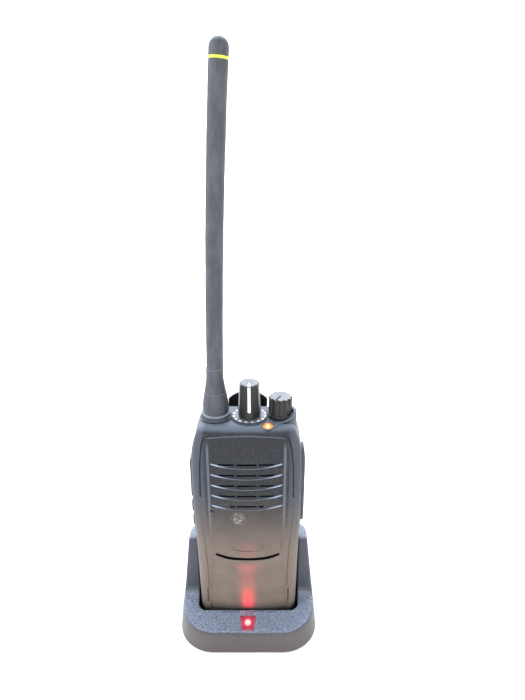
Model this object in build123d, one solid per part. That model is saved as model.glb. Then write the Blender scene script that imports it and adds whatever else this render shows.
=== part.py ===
from build123d import *
import math
import os

# Portable two-way radio standing in its desk charger.
# Millimetres. +X is the radio's right as seen from its front, +Y is towards the back, +Z is up.
# Every shape is drawn about the radio's mid-depth plane, and is moved to the charger's centre on export.

# ---------------------------------------------------------------- driving dimensions
RADIO_DEPTH = 24.5
RADIO_BOTTOM = 5.3
RADIO_HEIGHT = 111.8
HALF_WIDTH_TOP = 25.5
HALF_WIDTH_WAIST = 24.6
HALF_WIDTH_FOOT = 23.7
WAIST_Z = 50.0
HIP_Z = 74.0
SHOULDER_Z = 97.0
SHOULDER_R = 43.6
CORNER_R = 5.0
CROWN_R = 150.0
WALL = 1.8
GAP = 0.15

FRONT_Y = -RADIO_DEPTH / 2
BACK_Y = RADIO_DEPTH / 2
DECK_Z = RADIO_BOTTOM + RADIO_HEIGHT
SEAM_Y = 3.0
TOP_CAP_Z = 110.0
BATTERY_TOP_Z = 86.0

PANEL_RISE = 0.7
SLOT_TOP_Z = 99.9
SLOT_PITCH = 5.55
SLOT_COUNT = 5
SLOT_HEIGHT = 1.5
SCOOP_HALF = 16.6
SCOOP_DROP = 3.3

ANTENNA_X = -13.9
ANTENNA_TIP_Z = 267.5
WHIP_R = 3.75
SLEEVE_R = 5.9
COLLAR_R = 6.45
DIAL_X = 1.3
DIAL_R = 8.2
CHANNEL_NOSE = 5.8
VOLUME_X = 15.3
VOLUME_R = 5.3
VOLUME_RIBS = 12
CHANNEL_SHAFT_R = 2.5
VOLUME_SHAFT_R = 2.0
SHAFT_GAP = 0.05

KEY_Y = -2.9
KEY_DEPTH = 8.2
KEYS = {"ptt_key": (78.0, 98.5), "upper_side_key": (69.6, 76.2), "lower_side_key": (61.2, 67.8)}
KEY_RISE = 0.7
JACK_SCREW_Z = 70.5

CHARGER_HALF = 34.7
CHARGER_FRONT = -25.3
CHARGER_BACK = 33.3
SIDE_DRAFT = 0.105
BACK_DRAFT = 0.36
FRONT_CORNER_R = 18.0
REAR_CORNER_R = 12.0
BASE_Z = 0.8
BAND_Z = 12.4
PLATE_SLOPE = 0.25
EAR_Y = -3.2
EAR_TOP_Z = 50.9
EAR_SLOPE = 0.22
POCKET_HALF = 25.0
POCKET_FRONT = -12.85
POCKET_BACK = 13.1
POCKET_CORNER_R = 3.8
POCKET_FLOOR = 5.0
CHARGER_WALL = 2.0

CLIP_HALF = 9.6
CLIP_PIVOT_Y = 17.6
CLIP_PIVOT_Z = 101.0
CLIP_TOP_Z = 120.4
CLIP_LOW_Z = 57.0
CLIP_SCREW_Z = 106.9
CLIP_SCREWS_X = (-6.0, 6.0)

RADIO_Y = -(CHARGER_FRONT + CHARGER_BACK) / 2


# ---------------------------------------------------------------- helpers
def front_prism(sketch, y_low, y_high):
    """A sketch of (x, z) points swept along Y from y_low to y_high."""
    return Pos(0, y_high, 0) * extrude(Plane.XZ * sketch, amount=y_high - y_low, dir=(0, -1, 0))


def side_prism(sketch, x_low, x_high):
    """A sketch of (y, z) points swept along X from x_low to x_high."""
    return Pos(x_low, 0, 0) * extrude(Plane.YZ * sketch, amount=x_high - x_low, dir=(1, 0, 0))


def block(x, y, z):
    """A box given as three (low, high) pairs."""
    size = [high - low for low, high in (x, y, z)]
    middle = [(high + low) / 2 for low, high in (x, y, z)]
    return Pos(*middle) * Box(*size)


def post(x, y, z_low, z_high, radius):
    """An upright round bar."""
    return Pos(x, y, (z_low + z_high) / 2) * Cylinder(radius, z_high - z_low)


def bar_y(x, z, y_low, y_high, radius):
    """A round bar along Y."""
    return Pos(x, (y_low + y_high) / 2, z) * Rot(90, 0, 0) * Cylinder(radius, y_high - y_low)


def bar_x(y, z, x_low, x_high, radius):
    """A round bar along X."""
    return Pos((x_low + x_high) / 2, y, z) * Rot(0, 90, 0) * Cylinder(radius, x_high - x_low)


def rounded_box(x, y, z, radius, axis):
    """A box whose four edges along one axis are rounded."""
    solid = block(x, y, z)
    return fillet(solid.edges().filter_by(axis), radius)


def rounded_polygon(*corners):
    """A polygon whose corners are given as (x, y, corner radius)."""
    sheet = make_face(Polyline(*[(x, y) for x, y, _ in corners], close=True))
    for x, y, radius in corners:
        if radius:
            sheet = fillet(sheet.vertices().sort_by_distance((x, y, 0))[0], radius)
    return sheet


def screw(head_r, head_h, shank_r, shank_l):
    """A cross-recessed pan screw: head above z 0, shank below."""
    head = Pos(0, 0, head_h / 2) * Cylinder(head_r, head_h)
    head = fillet(head.edges().group_by(Axis.Z)[-1], head_h * 0.4)
    shank = Pos(0, 0, -shank_l / 2) * Cylinder(shank_r, shank_l)
    cross_w, cross_l = head_r * 0.28, head_r * 1.15
    cross = Pos(0, 0, head_h) * (Box(cross_w, cross_l, head_h) + Box(cross_l, cross_w, head_h))
    return head + shank - cross


# ---------------------------------------------------------------- radio body
def radio_outline(inset=0.0):
    """The radio's front outline: rounded foot, slight waist, straight flanks and sloping shoulders."""
    foot = HALF_WIDTH_FOOT - inset
    low = RADIO_BOTTOM + inset
    top = DECK_Z - inset
    waist = HALF_WIDTH_WAIST - inset
    hip = HALF_WIDTH_TOP - inset
    radius = SHOULDER_R - inset
    corner = CORNER_R - max(inset, 0)
    centre_x = hip - radius
    reach = math.sqrt(radius**2 - (top - SHOULDER_Z) ** 2)
    half = math.sqrt(radius**2 - ((top - SHOULDER_Z) / 2) ** 2)
    blend = 8.0
    drift = (waist - foot) / (WAIST_Z - low - corner) * blend
    side = Curve() + [
        Line((0, low), (foot - corner, low)),
        ThreePointArc(
            (foot - corner, low),
            (foot - corner * (1 - math.sqrt(0.5)), low + corner * (1 - math.sqrt(0.5))),
            (foot, low + corner),
        ),
        Line((foot, low + corner), (waist, WAIST_Z)),
        Bezier((waist, WAIST_Z), (waist + drift, WAIST_Z + blend), (hip, HIP_Z - blend), (hip, HIP_Z)),
        Line((hip, HIP_Z), (hip, SHOULDER_Z)),
        ThreePointArc(
            (hip, SHOULDER_Z),
            (centre_x + half, (SHOULDER_Z + top) / 2),
            (centre_x + reach, top),
        ),
        Line((centre_x + reach, top), (0, top)),
    ]
    return make_face(side + mirror(side, Plane.YZ))


def radio_blank(inset=0.0, y_front=FRONT_Y, y_back=BACK_Y, front_r=4.0, back_r=3.0):
    """The radio's whole outer form with a crowned front and rounded front and back edges."""
    outline = radio_outline(inset)
    corners = outline.vertices().filter_by(lambda v: v.Z > 1e9 or v.Y > DECK_Z - inset - 0.1)
    corners = [v for v in corners if abs(v.X) > 5]
    outline = fillet(corners, 4.6 - inset if inset > 0 else 4.6)
    solid = front_prism(outline, y_front - 1, y_back)
    solid &= Pos(0, y_front + CROWN_R, 60) * Cylinder(CROWN_R, 260)
    solid = fillet(solid.faces().sort_by(Axis.Y)[0].edges(), front_r)
    return fillet(solid.faces().sort_by(Axis.Y)[-1].edges(), back_r)


def panel_outline():
    """The raised speaker panel: arched top, sides that draw in below the grille, curved lower edge."""
    side = Curve() + [
        ThreePointArc((0, 114.0), (9.0, 113.6), (17.5, 112.4)),
        Line((17.5, 112.4), (18.0, 111.0)),
        Spline((18.0, 111.0), (18.7, 92.0), (17.6, 69.0), (15.2, 49.8)),
        ThreePointArc((15.2, 49.8), (7.8, 47.9), (0, 47.3)),
    ]
    sheet = make_face(side + mirror(side, Plane.YZ))
    return fillet(sheet.vertices().filter_by(lambda v: abs(v.X) > 10 and (v.Y > 110 or v.Y < 60)), 0.8)


def slot_z(index):
    """Height of one grille slot's upper edge."""
    return SLOT_TOP_Z - SLOT_PITCH * index


def scoop(index):
    """The wedge that gives one grille slot its crescent: deepest at the slot, fading out below it."""
    top = slot_z(index)
    surface = FRONT_Y - PANEL_RISE
    depth = SCOOP_HALF**2 / (2 * CROWN_R)
    reach = 1.2
    wedge = Polygon(
        (surface - reach, top),
        (surface + depth, top),
        (surface - reach, top - SCOOP_DROP - reach * SCOOP_DROP / depth),
        align=None,
    )
    return side_prism(wedge, -SCOOP_HALF, SCOOP_HALF)


def slot_cuts(index):
    """The three openings of one grille slot; the lowest slot has short outer ones."""
    top = slot_z(index)
    outer_end = 7.8 if index == SLOT_COUNT - 1 else 12.6
    spans = [(-outer_end, -5.6), (-4.5, 4.5), (5.6, outer_end)]
    return [block(s, (FRONT_Y - 2, FRONT_Y + 3), (top - SLOT_HEIGHT, top)) for s in spans]


def front_case():
    """Moulded front shell with the top cap, speaker grille, key windows and bosses."""
    outer = radio_blank()
    panel = front_prism(panel_outline(), FRONT_Y - 3, FRONT_Y + 3)
    panel &= Pos(0, FRONT_Y - PANEL_RISE + CROWN_R, 60) * Cylinder(CROWN_R, 260)
    panel = fillet(panel.faces().sort_by(Axis.Y)[0].edges(), 0.45)
    case = outer + panel
    case += [
        post(ANTENNA_X, 0, DECK_Z - 4, DECK_Z + 0.7, 7.3),
        post(DIAL_X, 0, DECK_Z - 4, DECK_Z + 0.3, DIAL_R + 0.6),
        volume_well(),
        led_mount(),
    ]
    case -= radio_blank(WALL, FRONT_Y + 2.2, BACK_Y - WALL, 2.4, 1.6)
    case -= block((-40, 40), (SEAM_Y, 40), (-5, TOP_CAP_Z))
    for index in range(SLOT_COUNT):
        case -= scoop(index)
        case -= slot_cuts(index)
    case -= panel_grooves()
    case -= chin_recess()
    sound_hole = Pos(-16.3, 73.9) * SlotOverall(2.1, 1.1, rotation=-15)
    case -= front_prism(sound_hole, FRONT_Y - 2, FRONT_Y + 3)
    case -= top_holes()
    case -= [key_window(low, high) for low, high in KEYS.values()]
    case -= [bar_x(KEY_Y, z, 20, 30, r) for z, r in ((94.0, 2.2), (86.0, 1.7))]
    case -= bar_x(KEY_Y, JACK_SCREW_Z, 20, 30, 1.15)
    bosses = [bar_y(x, z, FRONT_Y + 2, 1.0, 2.2) for x, z in chassis_screw_places()]
    case += bosses
    case -= [bar_y(x, z, -5, 1.1, 1.0) for x, z in chassis_screw_places()]
    case -= block((-4.2, 4.2), (1.6, SEAM_Y + 1), (RADIO_BOTTOM - 1, RADIO_BOTTOM + 1.1))
    return case


def panel_grooves():
    """The deep line under the panel, the small tab outline, the flank lines and the two slits at the foot."""
    smile = Spline((-15.2, 49.0), (-11.2, 47.2), (0, 46.2), (11.2, 47.2), (15.2, 49.0))
    tab = [
        Line((-7.4, 55.4), (-6.7, 52.6)),
        Spline((-6.7, 52.6), (0, 51.6), (6.7, 52.6)),
        Line((6.7, 52.6), (7.4, 55.4)),
    ]
    cuts = [front_prism(trace(smile, 1.7), FRONT_Y - 3, FRONT_Y + 1.8)]
    cuts += [front_prism(trace(Curve() + tab, 0.45), FRONT_Y - 3, FRONT_Y - 0.35)]
    for side in (-1, 1):
        upper = Spline((side * 18.9, 112.6), (side * 20.3, 105.0), (side * 21.2, 93.0), (side * 21.4, 81.0))
        lower = Spline((side * 21.5, 77.0), (side * 20.7, 62.0), (side * 19.7, 47.0), (side * 19.3, 28.5))
        cuts.append(front_prism(trace(upper, 0.7), FRONT_Y - 3, FRONT_Y + 2.6))
        cuts.append(front_prism(trace(lower, 0.45), FRONT_Y - 3, FRONT_Y + 1.65))
        cuts.append(block((side * 19.9 - 0.4, side * 19.9 + 0.4), (FRONT_Y - 3, FRONT_Y + 2.4), (18.3, 27.0)))
    return cuts


def chin_recess():
    """Shallow step below the panel: its upper edge is a small ledge across the front."""
    sheet = rounded_polygon(
        (-17.3, 41.6, 3.0), (-18.9, 18.0, 0), (-18.9, 0, 0), (18.9, 0, 0), (18.9, 18.0, 0), (17.3, 41.6, 3.0)
    )
    core = Pos(0, FRONT_Y + 0.35 + CROWN_R, 60) * Cylinder(CROWN_R, 260)
    return front_prism(sheet, FRONT_Y - 3, FRONT_Y + 3) - core


def volume_well():
    """The raised collar round the volume knob, higher at its back and right."""
    collar = post(VOLUME_X, 0, DECK_Z - 4, DECK_Z + 3.0, 7.4)
    lid = Pos(VOLUME_X, 0, DECK_Z + 1.7) * Rot(11, -13, 0) * Pos(0, 0, 10) * Box(40, 40, 20)
    return collar - lid


def led_mount():
    """The lozenge-shaped mound on the front edge of the deck that holds the status light."""
    mound = extrude(fillet(Polygon((-5.6, 0), (0, -3.1), (5.6, 0), (0, 3.1)).vertices(), 0.9), amount=4)
    mound = chamfer(mound.faces().sort_by(Axis.Z)[-1].edges(), 0.5)
    return led_frame() * Pos(0, 0, -3.4) * mound


def led_frame():
    """Place and tilt of the status light: on the rounded front edge of the deck."""
    return Pos(9.6, FRONT_Y + 3.6, DECK_Z - 0.5) * Rot(25, 0, 0)


def top_holes():
    """Holes in the deck for the connector, the two shafts, the dial plate and the light."""
    return [
        post(ANTENNA_X, 0, DECK_Z - 6, DECK_Z + 5, 3.2),
        post(ANTENNA_X, 0, DECK_Z - 0.6, DECK_Z + 5, COLLAR_R + 0.2),
        post(DIAL_X, 0, DECK_Z - 6, DECK_Z + 5, CHANNEL_SHAFT_R + 1.3),
        post(DIAL_X, 0, DECK_Z - 0.5, DECK_Z + 5, DIAL_R + 0.1),
        post(VOLUME_X, 0, DECK_Z - 6, DECK_Z + 5, VOLUME_SHAFT_R + 1.3),
        post(VOLUME_X, 0, DECK_Z - 0.1, DECK_Z + 6, VOLUME_R + 0.75),
        led_frame() * Pos(0, 0, 0) * scale(Cylinder(2.4, 12), (1.0, 0.72, 1)),
    ]


def key_window(low, high):
    """Opening in the left wall for one side key."""
    y = (KEY_Y - KEY_DEPTH / 2 - 0.25, KEY_Y + KEY_DEPTH / 2 + 0.25)
    return rounded_box((-30, -20), y, (low - 0.25, high + 0.25), 1.9, Axis.X)


def chassis_screw_places():
    """Centres (x, z) of the screws that hold the chassis in the front shell."""
    return [(x, z) for x in (-18.2, 18.2) for z in (16.0, 54.0)]


def rear_chassis():
    """Die-cast frame: a plate behind the boards and a block above the battery."""
    shell = radio_blank() & block((-40, 40), (SEAM_Y + GAP, 40), (BATTERY_TOP_Z + GAP, TOP_CAP_Z - GAP))
    above_battery = block((-40, 40), (-9, 40), (BATTERY_TOP_Z + 2.2, 130))
    shell -= radio_blank(WALL, 0, BACK_Y - 2.0, 2.4, 1.6) & above_battery
    plate = front_prism(radio_outline(WALL + GAP), 1.1, SEAM_Y) & block((-40, 40), (-9, 9), (8, 104.5))
    window = block((-13, 13), (0, 9), (92, 110))
    link = front_prism(radio_outline(WALL + GAP), 1.1, SEAM_Y + 1.2)
    link &= block((-40, 40), (0, 9), (BATTERY_TOP_Z + GAP, BATTERY_TOP_Z + 3))
    key_room = block((-30, -21.8), (0, 1.6), (60, 99.8))
    frame = shell + plate + link - window - key_room
    frame -= [bar_y(x, z, 0, 9, 1.15) for x, z in chassis_screw_places()]
    frame -= [bar_y(x, z, 1.85, 9, 2.1) for x, z in chassis_screw_places()]
    frame -= [bar_y(x, CLIP_SCREW_Z, 5, 20, 1.25) for x in CLIP_SCREWS_X]
    return frame


def chassis_screws():
    """Four screws from the chassis plate into the front shell."""
    one = screw(1.9, 1.1, 0.9, 6.0)
    return [Pos(x, 1.87, z) * Rot(-90, 0, 0) * one for x, z in chassis_screw_places()]


# ---------------------------------------------------------------- inside the radio
def speaker():
    """Round loudspeaker: pressed basket and magnet pot."""
    y = FRONT_Y + 3.5
    rim = bar_y(0, 88.4, y, y + 1.2, 15.6)
    basket = rim + bar_y(0, 88.4, y + 1.2, y + 3.2, 12.5) + bar_y(0, 88.4, y + 3.2, y + 5.0, 7.5)
    hollow = bar_y(0, 88.4, y - 1, y + 2.4, 11.8)
    return fillet((basket - hollow).edges().filter_by(GeomType.CIRCLE).group_by(Axis.Y)[-1], 0.5)


def speaker_cone():
    """Paper cone with its domed centre, inside the basket."""
    y = FRONT_Y + 4.0
    front = [(0, y + 0.5), (3.6, y + 1.2), (10.6, y)]
    profile = Polyline(*front, (10.6, y + 0.3), (3.6, y + 1.6), (0, y + 0.9), close=True)
    dish = revolve(Plane.XY * make_face(profile), Axis.Y)
    return Pos(0, 0, 88.4) * dish


def speaker_cloth():
    """Dust cloth stretched behind the grille slots."""
    sheet = rounded_box((-16.5, 16.5), (FRONT_Y, FRONT_Y + 5), (73.5, 102.0), 3, Axis.Y)
    front = Pos(0, FRONT_Y + 2.25 + CROWN_R, 88) * Cylinder(CROWN_R, 60)
    return sheet & front - Pos(0, 0.25, 0) * front


def microphone():
    """Electret capsule behind its small sound hole."""
    return fillet(bar_y(-16.6, 70.2, FRONT_Y + 3.9, FRONT_Y + 6.5, 2.9).edges(), 0.3)


def main_circuit_board():
    """Main board between the speaker and the chassis plate."""
    board = front_prism(radio_outline(WALL + 1.0), -1.6, -0.4) & block((-19.5, 19.5), (-9, 9), (10.5, 104.0))
    board -= block((13.9, 40), (-9, 9), (81.9, 98.6))
    return board - [bar_y(x, z, -9, 9, 2.6) for x, z in chassis_screw_places()]


def shield_cans():
    """Tinned covers over the transmitter, receiver and logic sections."""
    cans = [((-14, 14), (52, 66)), ((-15, -1), (20, 48)), ((2, 15), (24, 48))]
    return [rounded_box(x, (-3.8, -1.65), z, 0.8, Axis.Y) for x, z in cans]


def antenna_connector():
    """Threaded socket in the deck with its nut."""
    body = post(ANTENNA_X, 0, 108.5, DECK_Z - WALL - 0.1, 4.4) + post(ANTENNA_X, 0, 108.5, DECK_Z + 4.0, 2.9)
    nut = extrude(Pos(ANTENNA_X, 0, 112.0) * RegularPolygon(5.0, 6), amount=1.6)
    return body + nut - post(ANTENNA_X, 0, 112, DECK_Z + 5, 1.6)


def channel_switch():
    """Rotary channel selector below the deck."""
    can = rounded_box((DIAL_X - 6.2, DIAL_X + 6.0), (-5.2, 6.2), (106.5, 113.2), 1, Axis.Z)
    bush = post(DIAL_X, 0, 113.2, DECK_Z + 0.4, CHANNEL_SHAFT_R + 1.1)
    return can + bush - post(DIAL_X, 0, 108, DECK_Z + 2, CHANNEL_SHAFT_R + SHAFT_GAP)


def volume_control():
    """Volume potentiometer with its power switch, below the deck."""
    can = rounded_box((VOLUME_X - 5.0, VOLUME_X + 5.0), (-4.6, 5.4), (105.5, 113.2), 1, Axis.Z)
    bush = post(VOLUME_X, 0, 113.2, DECK_Z + 0.2, VOLUME_SHAFT_R + 1.1)
    return can + bush - post(VOLUME_X, 0, 107, DECK_Z + 2, VOLUME_SHAFT_R + SHAFT_GAP)


def status_light_pipe():
    """Clear light pipe of the status light, domed where it shows."""
    pipe = fillet(Cylinder(2.3, 4.6).edges().group_by(Axis.Z)[-1], 1.0)
    return led_frame() * Pos(0, 0, -1.2) * scale(pipe, (1, 0.7, 1))


def status_led():
    """The amber lamp on its small board below the light pipe."""
    lamp = block((-1.2, 1.2), (-0.8, 0.8), (-5.0, -3.8)) + block((-1.8, 1.8), (-1.2, 1.2), (-5.8, -5.0))
    return led_frame() * lamp


def side_switch_board():
    """Upright board with one dome switch behind each side key."""
    board = block((-20.3, -19.7), (-6.4, -2.0), (61.0, 99.0))
    domes = []
    for low, high in KEYS.values():
        dome = fillet(bar_x(-4.2, (low + high) / 2, -21.5, -20.3, 1.7).edges().group_by(Axis.X)[0], 0.8)
        domes.append(dome)
    return board + domes


def jack_sockets():
    """Microphone and earphone sockets behind the right wall."""
    body = rounded_box((14.5, 23.5), (-6.6, 0.8), (82.5, 98.0), 0.6, Axis.X)
    return body - bar_x(KEY_Y, 94.0, 15.5, 30, 1.75) - bar_x(KEY_Y, 86.0, 15.5, 30, 1.25)


# ---------------------------------------------------------------- side keys and jack cover
def side_key(name):
    """One side key: a proud cap that follows the wall, on a flange that keeps it in its window."""
    low, high = KEYS[name]
    y = (KEY_Y - KEY_DEPTH / 2, KEY_Y + KEY_DEPTH / 2)
    cap = rounded_box((-30, -23.9), y, (low, high), 1.7, Axis.X)
    cap &= front_prism(radio_outline(-KEY_RISE), -20, 20)
    cap = fillet(cap.faces().sort_by(Axis.X)[0].edges(), 0.55)
    flange = rounded_box((-23.9, -22.9), (y[0] + 0.4, y[1] - 0.4), (low + 0.4, high - 0.4), 1.2, Axis.X)
    key = cap + flange
    if name == "ptt_key":
        ribs = [bar_y(-26.75, low + 4.2 + 2.1 * i, y[0] + 1.8, y[1] - 1.8, 0.45) for i in range(6)]
        key -= ribs
    return key


def jack_cover():
    """Cover plate over the sockets on the right flank, following the wall, with two plugs."""
    plate = front_prism(radio_outline(-1.25), KEY_Y - 4.4, KEY_Y + 4.4)
    plate -= front_prism(radio_outline(-0.04), -20, 20)
    outline = fillet(Rectangle(8.8, 39.4).vertices(), 2.2)
    plate &= Pos(20, KEY_Y, 84.2) * extrude(Plane.YZ * outline, amount=12)
    plate = fillet(plate.faces().sort_by(Axis.X)[-1].edges(), 0.5)
    plugs = [bar_x(KEY_Y, z, 23.8, 25.9, r) for z, r in ((94.0, 1.9), (86.0, 1.4))]
    return plate + plugs - bar_x(KEY_Y, JACK_SCREW_Z, 20, 30, 1.1) - bar_x(KEY_Y, JACK_SCREW_Z, 26.15, 30, 2.3)


def jack_cover_screw():
    """Slotted screw at the lower end of the jack cover."""
    one = screw(2.1, 0.7, 0.95, 4.5)
    return Pos(26.17, KEY_Y, JACK_SCREW_Z) * Rot(0, 90, 0) * one


# ---------------------------------------------------------------- antenna
def whip_line():
    """The whip's middle line: upright at the sleeve, bending gently to the right as it rises."""
    return ThreePointArc(
        (ANTENNA_X, 0, DECK_Z + 8),
        (ANTENNA_X + 1.75, 0, DECK_Z + 78),
        (ANTENNA_X + 5.6, 0, ANTENNA_TIP_Z - WHIP_R),
    )


def antenna_sleeve():
    """Moulded rubber base of the antenna: a collar, a body and a neck that narrows to the whip."""
    z = DECK_Z - 0.5
    neck = WHIP_R + 0.2
    profile = Curve() + [
        Polyline(
            (0, z), (COLLAR_R, z), (COLLAR_R, z + 2.6), (COLLAR_R - 0.5, z + 3.3), (SLEEVE_R - 0.35, z + 3.3)
        ),
        Line((SLEEVE_R - 0.35, z + 3.3), (SLEEVE_R, z + 3.7)),
        Spline((SLEEVE_R, z + 3.7), (5.35, z + 11.0), (4.4, z + 17.5), (neck, z + 24.5)),
        Polyline((neck, z + 24.5), (0, z + 24.5), (0, z)),
    ]
    body = Pos(ANTENNA_X, 0, 0) * revolve(Plane.XZ * make_face(profile), Axis.Z)
    return body - post(ANTENNA_X, 0, z - 1, z + 5.5, 3.05) - whip_rod(WHIP_R, 0, 1)


def whip_rod(radius, start, end):
    """A round rod along part of the whip's middle line."""
    line = whip_line().trim(start, end) if (start, end) != (0, 1) else whip_line()
    return sweep(Plane(line @ 0, z_dir=line % 0) * Circle(radius), path=line)


def antenna_whip():
    """Flexible rubber whip with a domed tip and a groove for the coloured band."""
    line = whip_line()
    tip = Pos(line @ 1) * Sphere(WHIP_R)
    core = whip_rod(WHIP_R - 0.35, BAND_SPAN[0] - 0.01, BAND_SPAN[1] + 0.01)
    groove = whip_rod(WHIP_R + 2, *BAND_SPAN) - core
    return whip_rod(WHIP_R, 0, 1) + tip - groove


BAND_SPAN = (0.972, 0.980)


def antenna_band():
    """Coloured ring that marks the antenna's frequency range."""
    start, end = BAND_SPAN
    ring = whip_rod(WHIP_R + 0.04, start + 0.0004, end - 0.0004)
    return ring - whip_rod(WHIP_R - 0.3, start - 0.01, end + 0.01)


# ---------------------------------------------------------------- knobs
def channel_dial():
    """Plate round the channel knob that carries the sixteen position marks."""
    plate = post(DIAL_X, 0, DECK_Z - 0.45, DECK_Z + 0.9, DIAL_R)
    plate = fillet(plate.edges().group_by(Axis.Z)[-1], 0.35)
    return plate - post(DIAL_X, 0, DECK_Z - 2, DECK_Z + 3, CHANNEL_SHAFT_R + 1.25)


def channel_knob_section(scale_by):
    """Knob section seen from above: round at the back, drawn out to a blunt pointer at the front."""
    r = 5.2 * scale_by
    nose = CHANNEL_NOSE * scale_by
    half_nose = 1.5 * scale_by
    outline = Curve() + [
        ThreePointArc((-r, 0), (0, r), (r, 0)),
        Line((r, 0), (r * 0.86, -r * 0.62)),
        Line((r * 0.86, -r * 0.62), (half_nose, -nose)),
        Line((half_nose, -nose), (-half_nose, -nose)),
        Line((-half_nose, -nose), (-r * 0.86, -r * 0.62)),
        Line((-r * 0.86, -r * 0.62), (-r, 0)),
    ]
    return make_face(outline)


def channel_knob():
    """Tall pointer knob with a groove down its front and across its top for the white line."""
    low, high = DECK_Z + 1.6, DECK_Z + 17.2
    knob = loft([
        Pos(DIAL_X, 0, low) * channel_knob_section(1.0),
        Pos(DIAL_X, 0, high) * channel_knob_section(0.86),
    ])
    knob = fillet(knob.faces().sort_by(Axis.Z)[-1].edges(), 0.8)
    knob -= knob_line(2.0, (-2, 0.45), (2.2, 20), (-9, -0.6), (-0.45, 2))
    return knob - post(DIAL_X, 0, low - 1, low + 12, CHANNEL_SHAFT_R + SHAFT_GAP / 2)


def knob_line(width, y_nose, z_nose, y_top, z_top):
    """Bars down the knob's nose and along its top, given by their (low, high) spans off the two surfaces."""
    lean = math.degrees(math.atan(CHANNEL_NOSE * 0.14 / 15.6))
    foot = Pos(DIAL_X, -CHANNEL_NOSE, DECK_Z + 1.6) * Rot(-lean, 0, 0)
    side = (-width / 2, width / 2)
    return [foot * block(side, y_nose, z_nose), Pos(DIAL_X, 0, DECK_Z + 17.2) * block(side, y_top, z_top)]


def channel_knob_pointer():
    """White line set into the knob's groove."""
    return knob_line(1.2, (0.05, 0.42), (3.0, 14.9), (-4.3, -0.9), (-0.42, -0.05))


def channel_shaft():
    """Selector spindle with a flat near its top."""
    return post(DIAL_X, 0, 108.4, DECK_Z + 12.5, CHANNEL_SHAFT_R)


def volume_knob():
    """Ribbed volume knob with a short index groove in its top and a plain skirt."""
    low, high = DECK_Z + 0.5, DECK_Z + 10.2
    core = loft([
        Pos(VOLUME_X, 0, low + 1.4) * Circle(VOLUME_R - 0.35),
        Pos(VOLUME_X, 0, high) * Circle(VOLUME_R - 0.75),
    ])
    rib = loft([Pos(0, 0, low + 1.4) * Circle(0.75), Pos(0, 0, high) * Circle(0.7)])
    knob = core + post(VOLUME_X, 0, low, low + 1.4, VOLUME_R + 0.2)
    step = 360 / VOLUME_RIBS
    rib = Pos(0, -VOLUME_R + 0.75, 0) * rib
    ribs = [Pos(VOLUME_X, 0, 0) * Rot(0, 0, step * i) * rib for i in range(VOLUME_RIBS)]
    knob += ribs
    groove = Pos(VOLUME_X, 0, 0) * Rot(0, 0, -27) * block((-0.35, 0.35), (-7, 0), (high - 0.5, high + 2))
    return knob - groove - post(VOLUME_X, 0, low - 1, low + 6.5, VOLUME_SHAFT_R + SHAFT_GAP / 2)


def volume_shaft():
    """Potentiometer spindle."""
    return post(VOLUME_X, 0, 107.4, DECK_Z + 6.5, VOLUME_SHAFT_R)


# ---------------------------------------------------------------- battery
def battery_case():
    """Battery tub: back and side walls, with a slot for the latch and recesses for the terminals."""
    tub = radio_blank() & block((-40, 40), (SEAM_Y + GAP, 40), (0, BATTERY_TOP_Z - GAP))
    hollow = radio_blank(1.6, 0, BACK_Y - 1.5, 2.4, 1.6) & block((-40, 40), (0, 40), (0, BATTERY_TOP_Z - 1.8))
    tub -= hollow
    tub -= [block((x - 2.6, x + 2.6), (BACK_Y - 0.4, BACK_Y + 2), (11.0, 19.0)) for x in TERMINALS_X]
    tub -= block((-6.3, 6.3), (SEAM_Y - 1, 9.5), (RADIO_BOTTOM - 1, RADIO_BOTTOM + 1.1))
    return tub


TERMINALS_X = (-10.0, 0.0, 10.0)


def battery_cover():
    """Inner lid of the battery."""
    lid = front_prism(radio_outline(1.6 + GAP), SEAM_Y + GAP, SEAM_Y + 1.3)
    return lid & block((-40, 40), (0, 40), (0, BATTERY_TOP_Z - 2.1))


def battery_cells():
    """Two flat lithium-ion cells side by side."""
    spans = [(-20.0, -0.4), (0.4, 20.0)]
    return [rounded_box(x, (4.7, 10.3), (24.0, 80.0), 2.2, Axis.Z) for x in spans]


def battery_protection_board():
    """Protection circuit at the foot of the cells."""
    return block((-17, 17), (8.6, 9.6), (9.5, 22.0))


def battery_terminals():
    """Three plated charging pads in the lower back of the battery."""
    return [block((x - 2.5, x + 2.5), (BACK_Y - 0.38, BACK_Y - 0.05), (11.1, 18.9)) for x in TERMINALS_X]


def battery_latch():
    """Sliding catch in the battery's foot, with a tooth that hooks into the front shell."""
    slider = block((-6.0, 6.0), (4.2, 7.2), (RADIO_BOTTOM + 0.05, RADIO_BOTTOM + 1.0))
    tooth = block((-3.9, 3.9), (1.9, 4.2), (RADIO_BOTTOM + 0.05, RADIO_BOTTOM + 1.0))
    return slider + tooth


# ---------------------------------------------------------------- belt clip
def clip_base():
    """Plate screwed to the chassis, with two ears for the lever's pin."""
    plate = rounded_box((-9.4, 9.4), (BACK_Y + 0.05, BACK_Y + 2.0), (90.0, 109.0), 1.5, Axis.Y)
    ears = []
    for x in (-5.6, 3.8):
        ear = Polygon(
            (BACK_Y + 1.9, 97.0), (CLIP_PIVOT_Y, 99.1), (CLIP_PIVOT_Y, 102.9), (BACK_Y + 1.9, 104.2), align=None
        )
        ears.append(side_prism(ear, x, x + 1.8))
        ears.append(bar_x(CLIP_PIVOT_Y, CLIP_PIVOT_Z, x, x + 1.8, 1.9))
    base = plate + ears - bar_x(CLIP_PIVOT_Y, CLIP_PIVOT_Z, -9, 9, 1.0)
    return base - [bar_y(x, CLIP_SCREW_Z, 10, 20, 1.3) for x in CLIP_SCREWS_X]


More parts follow.
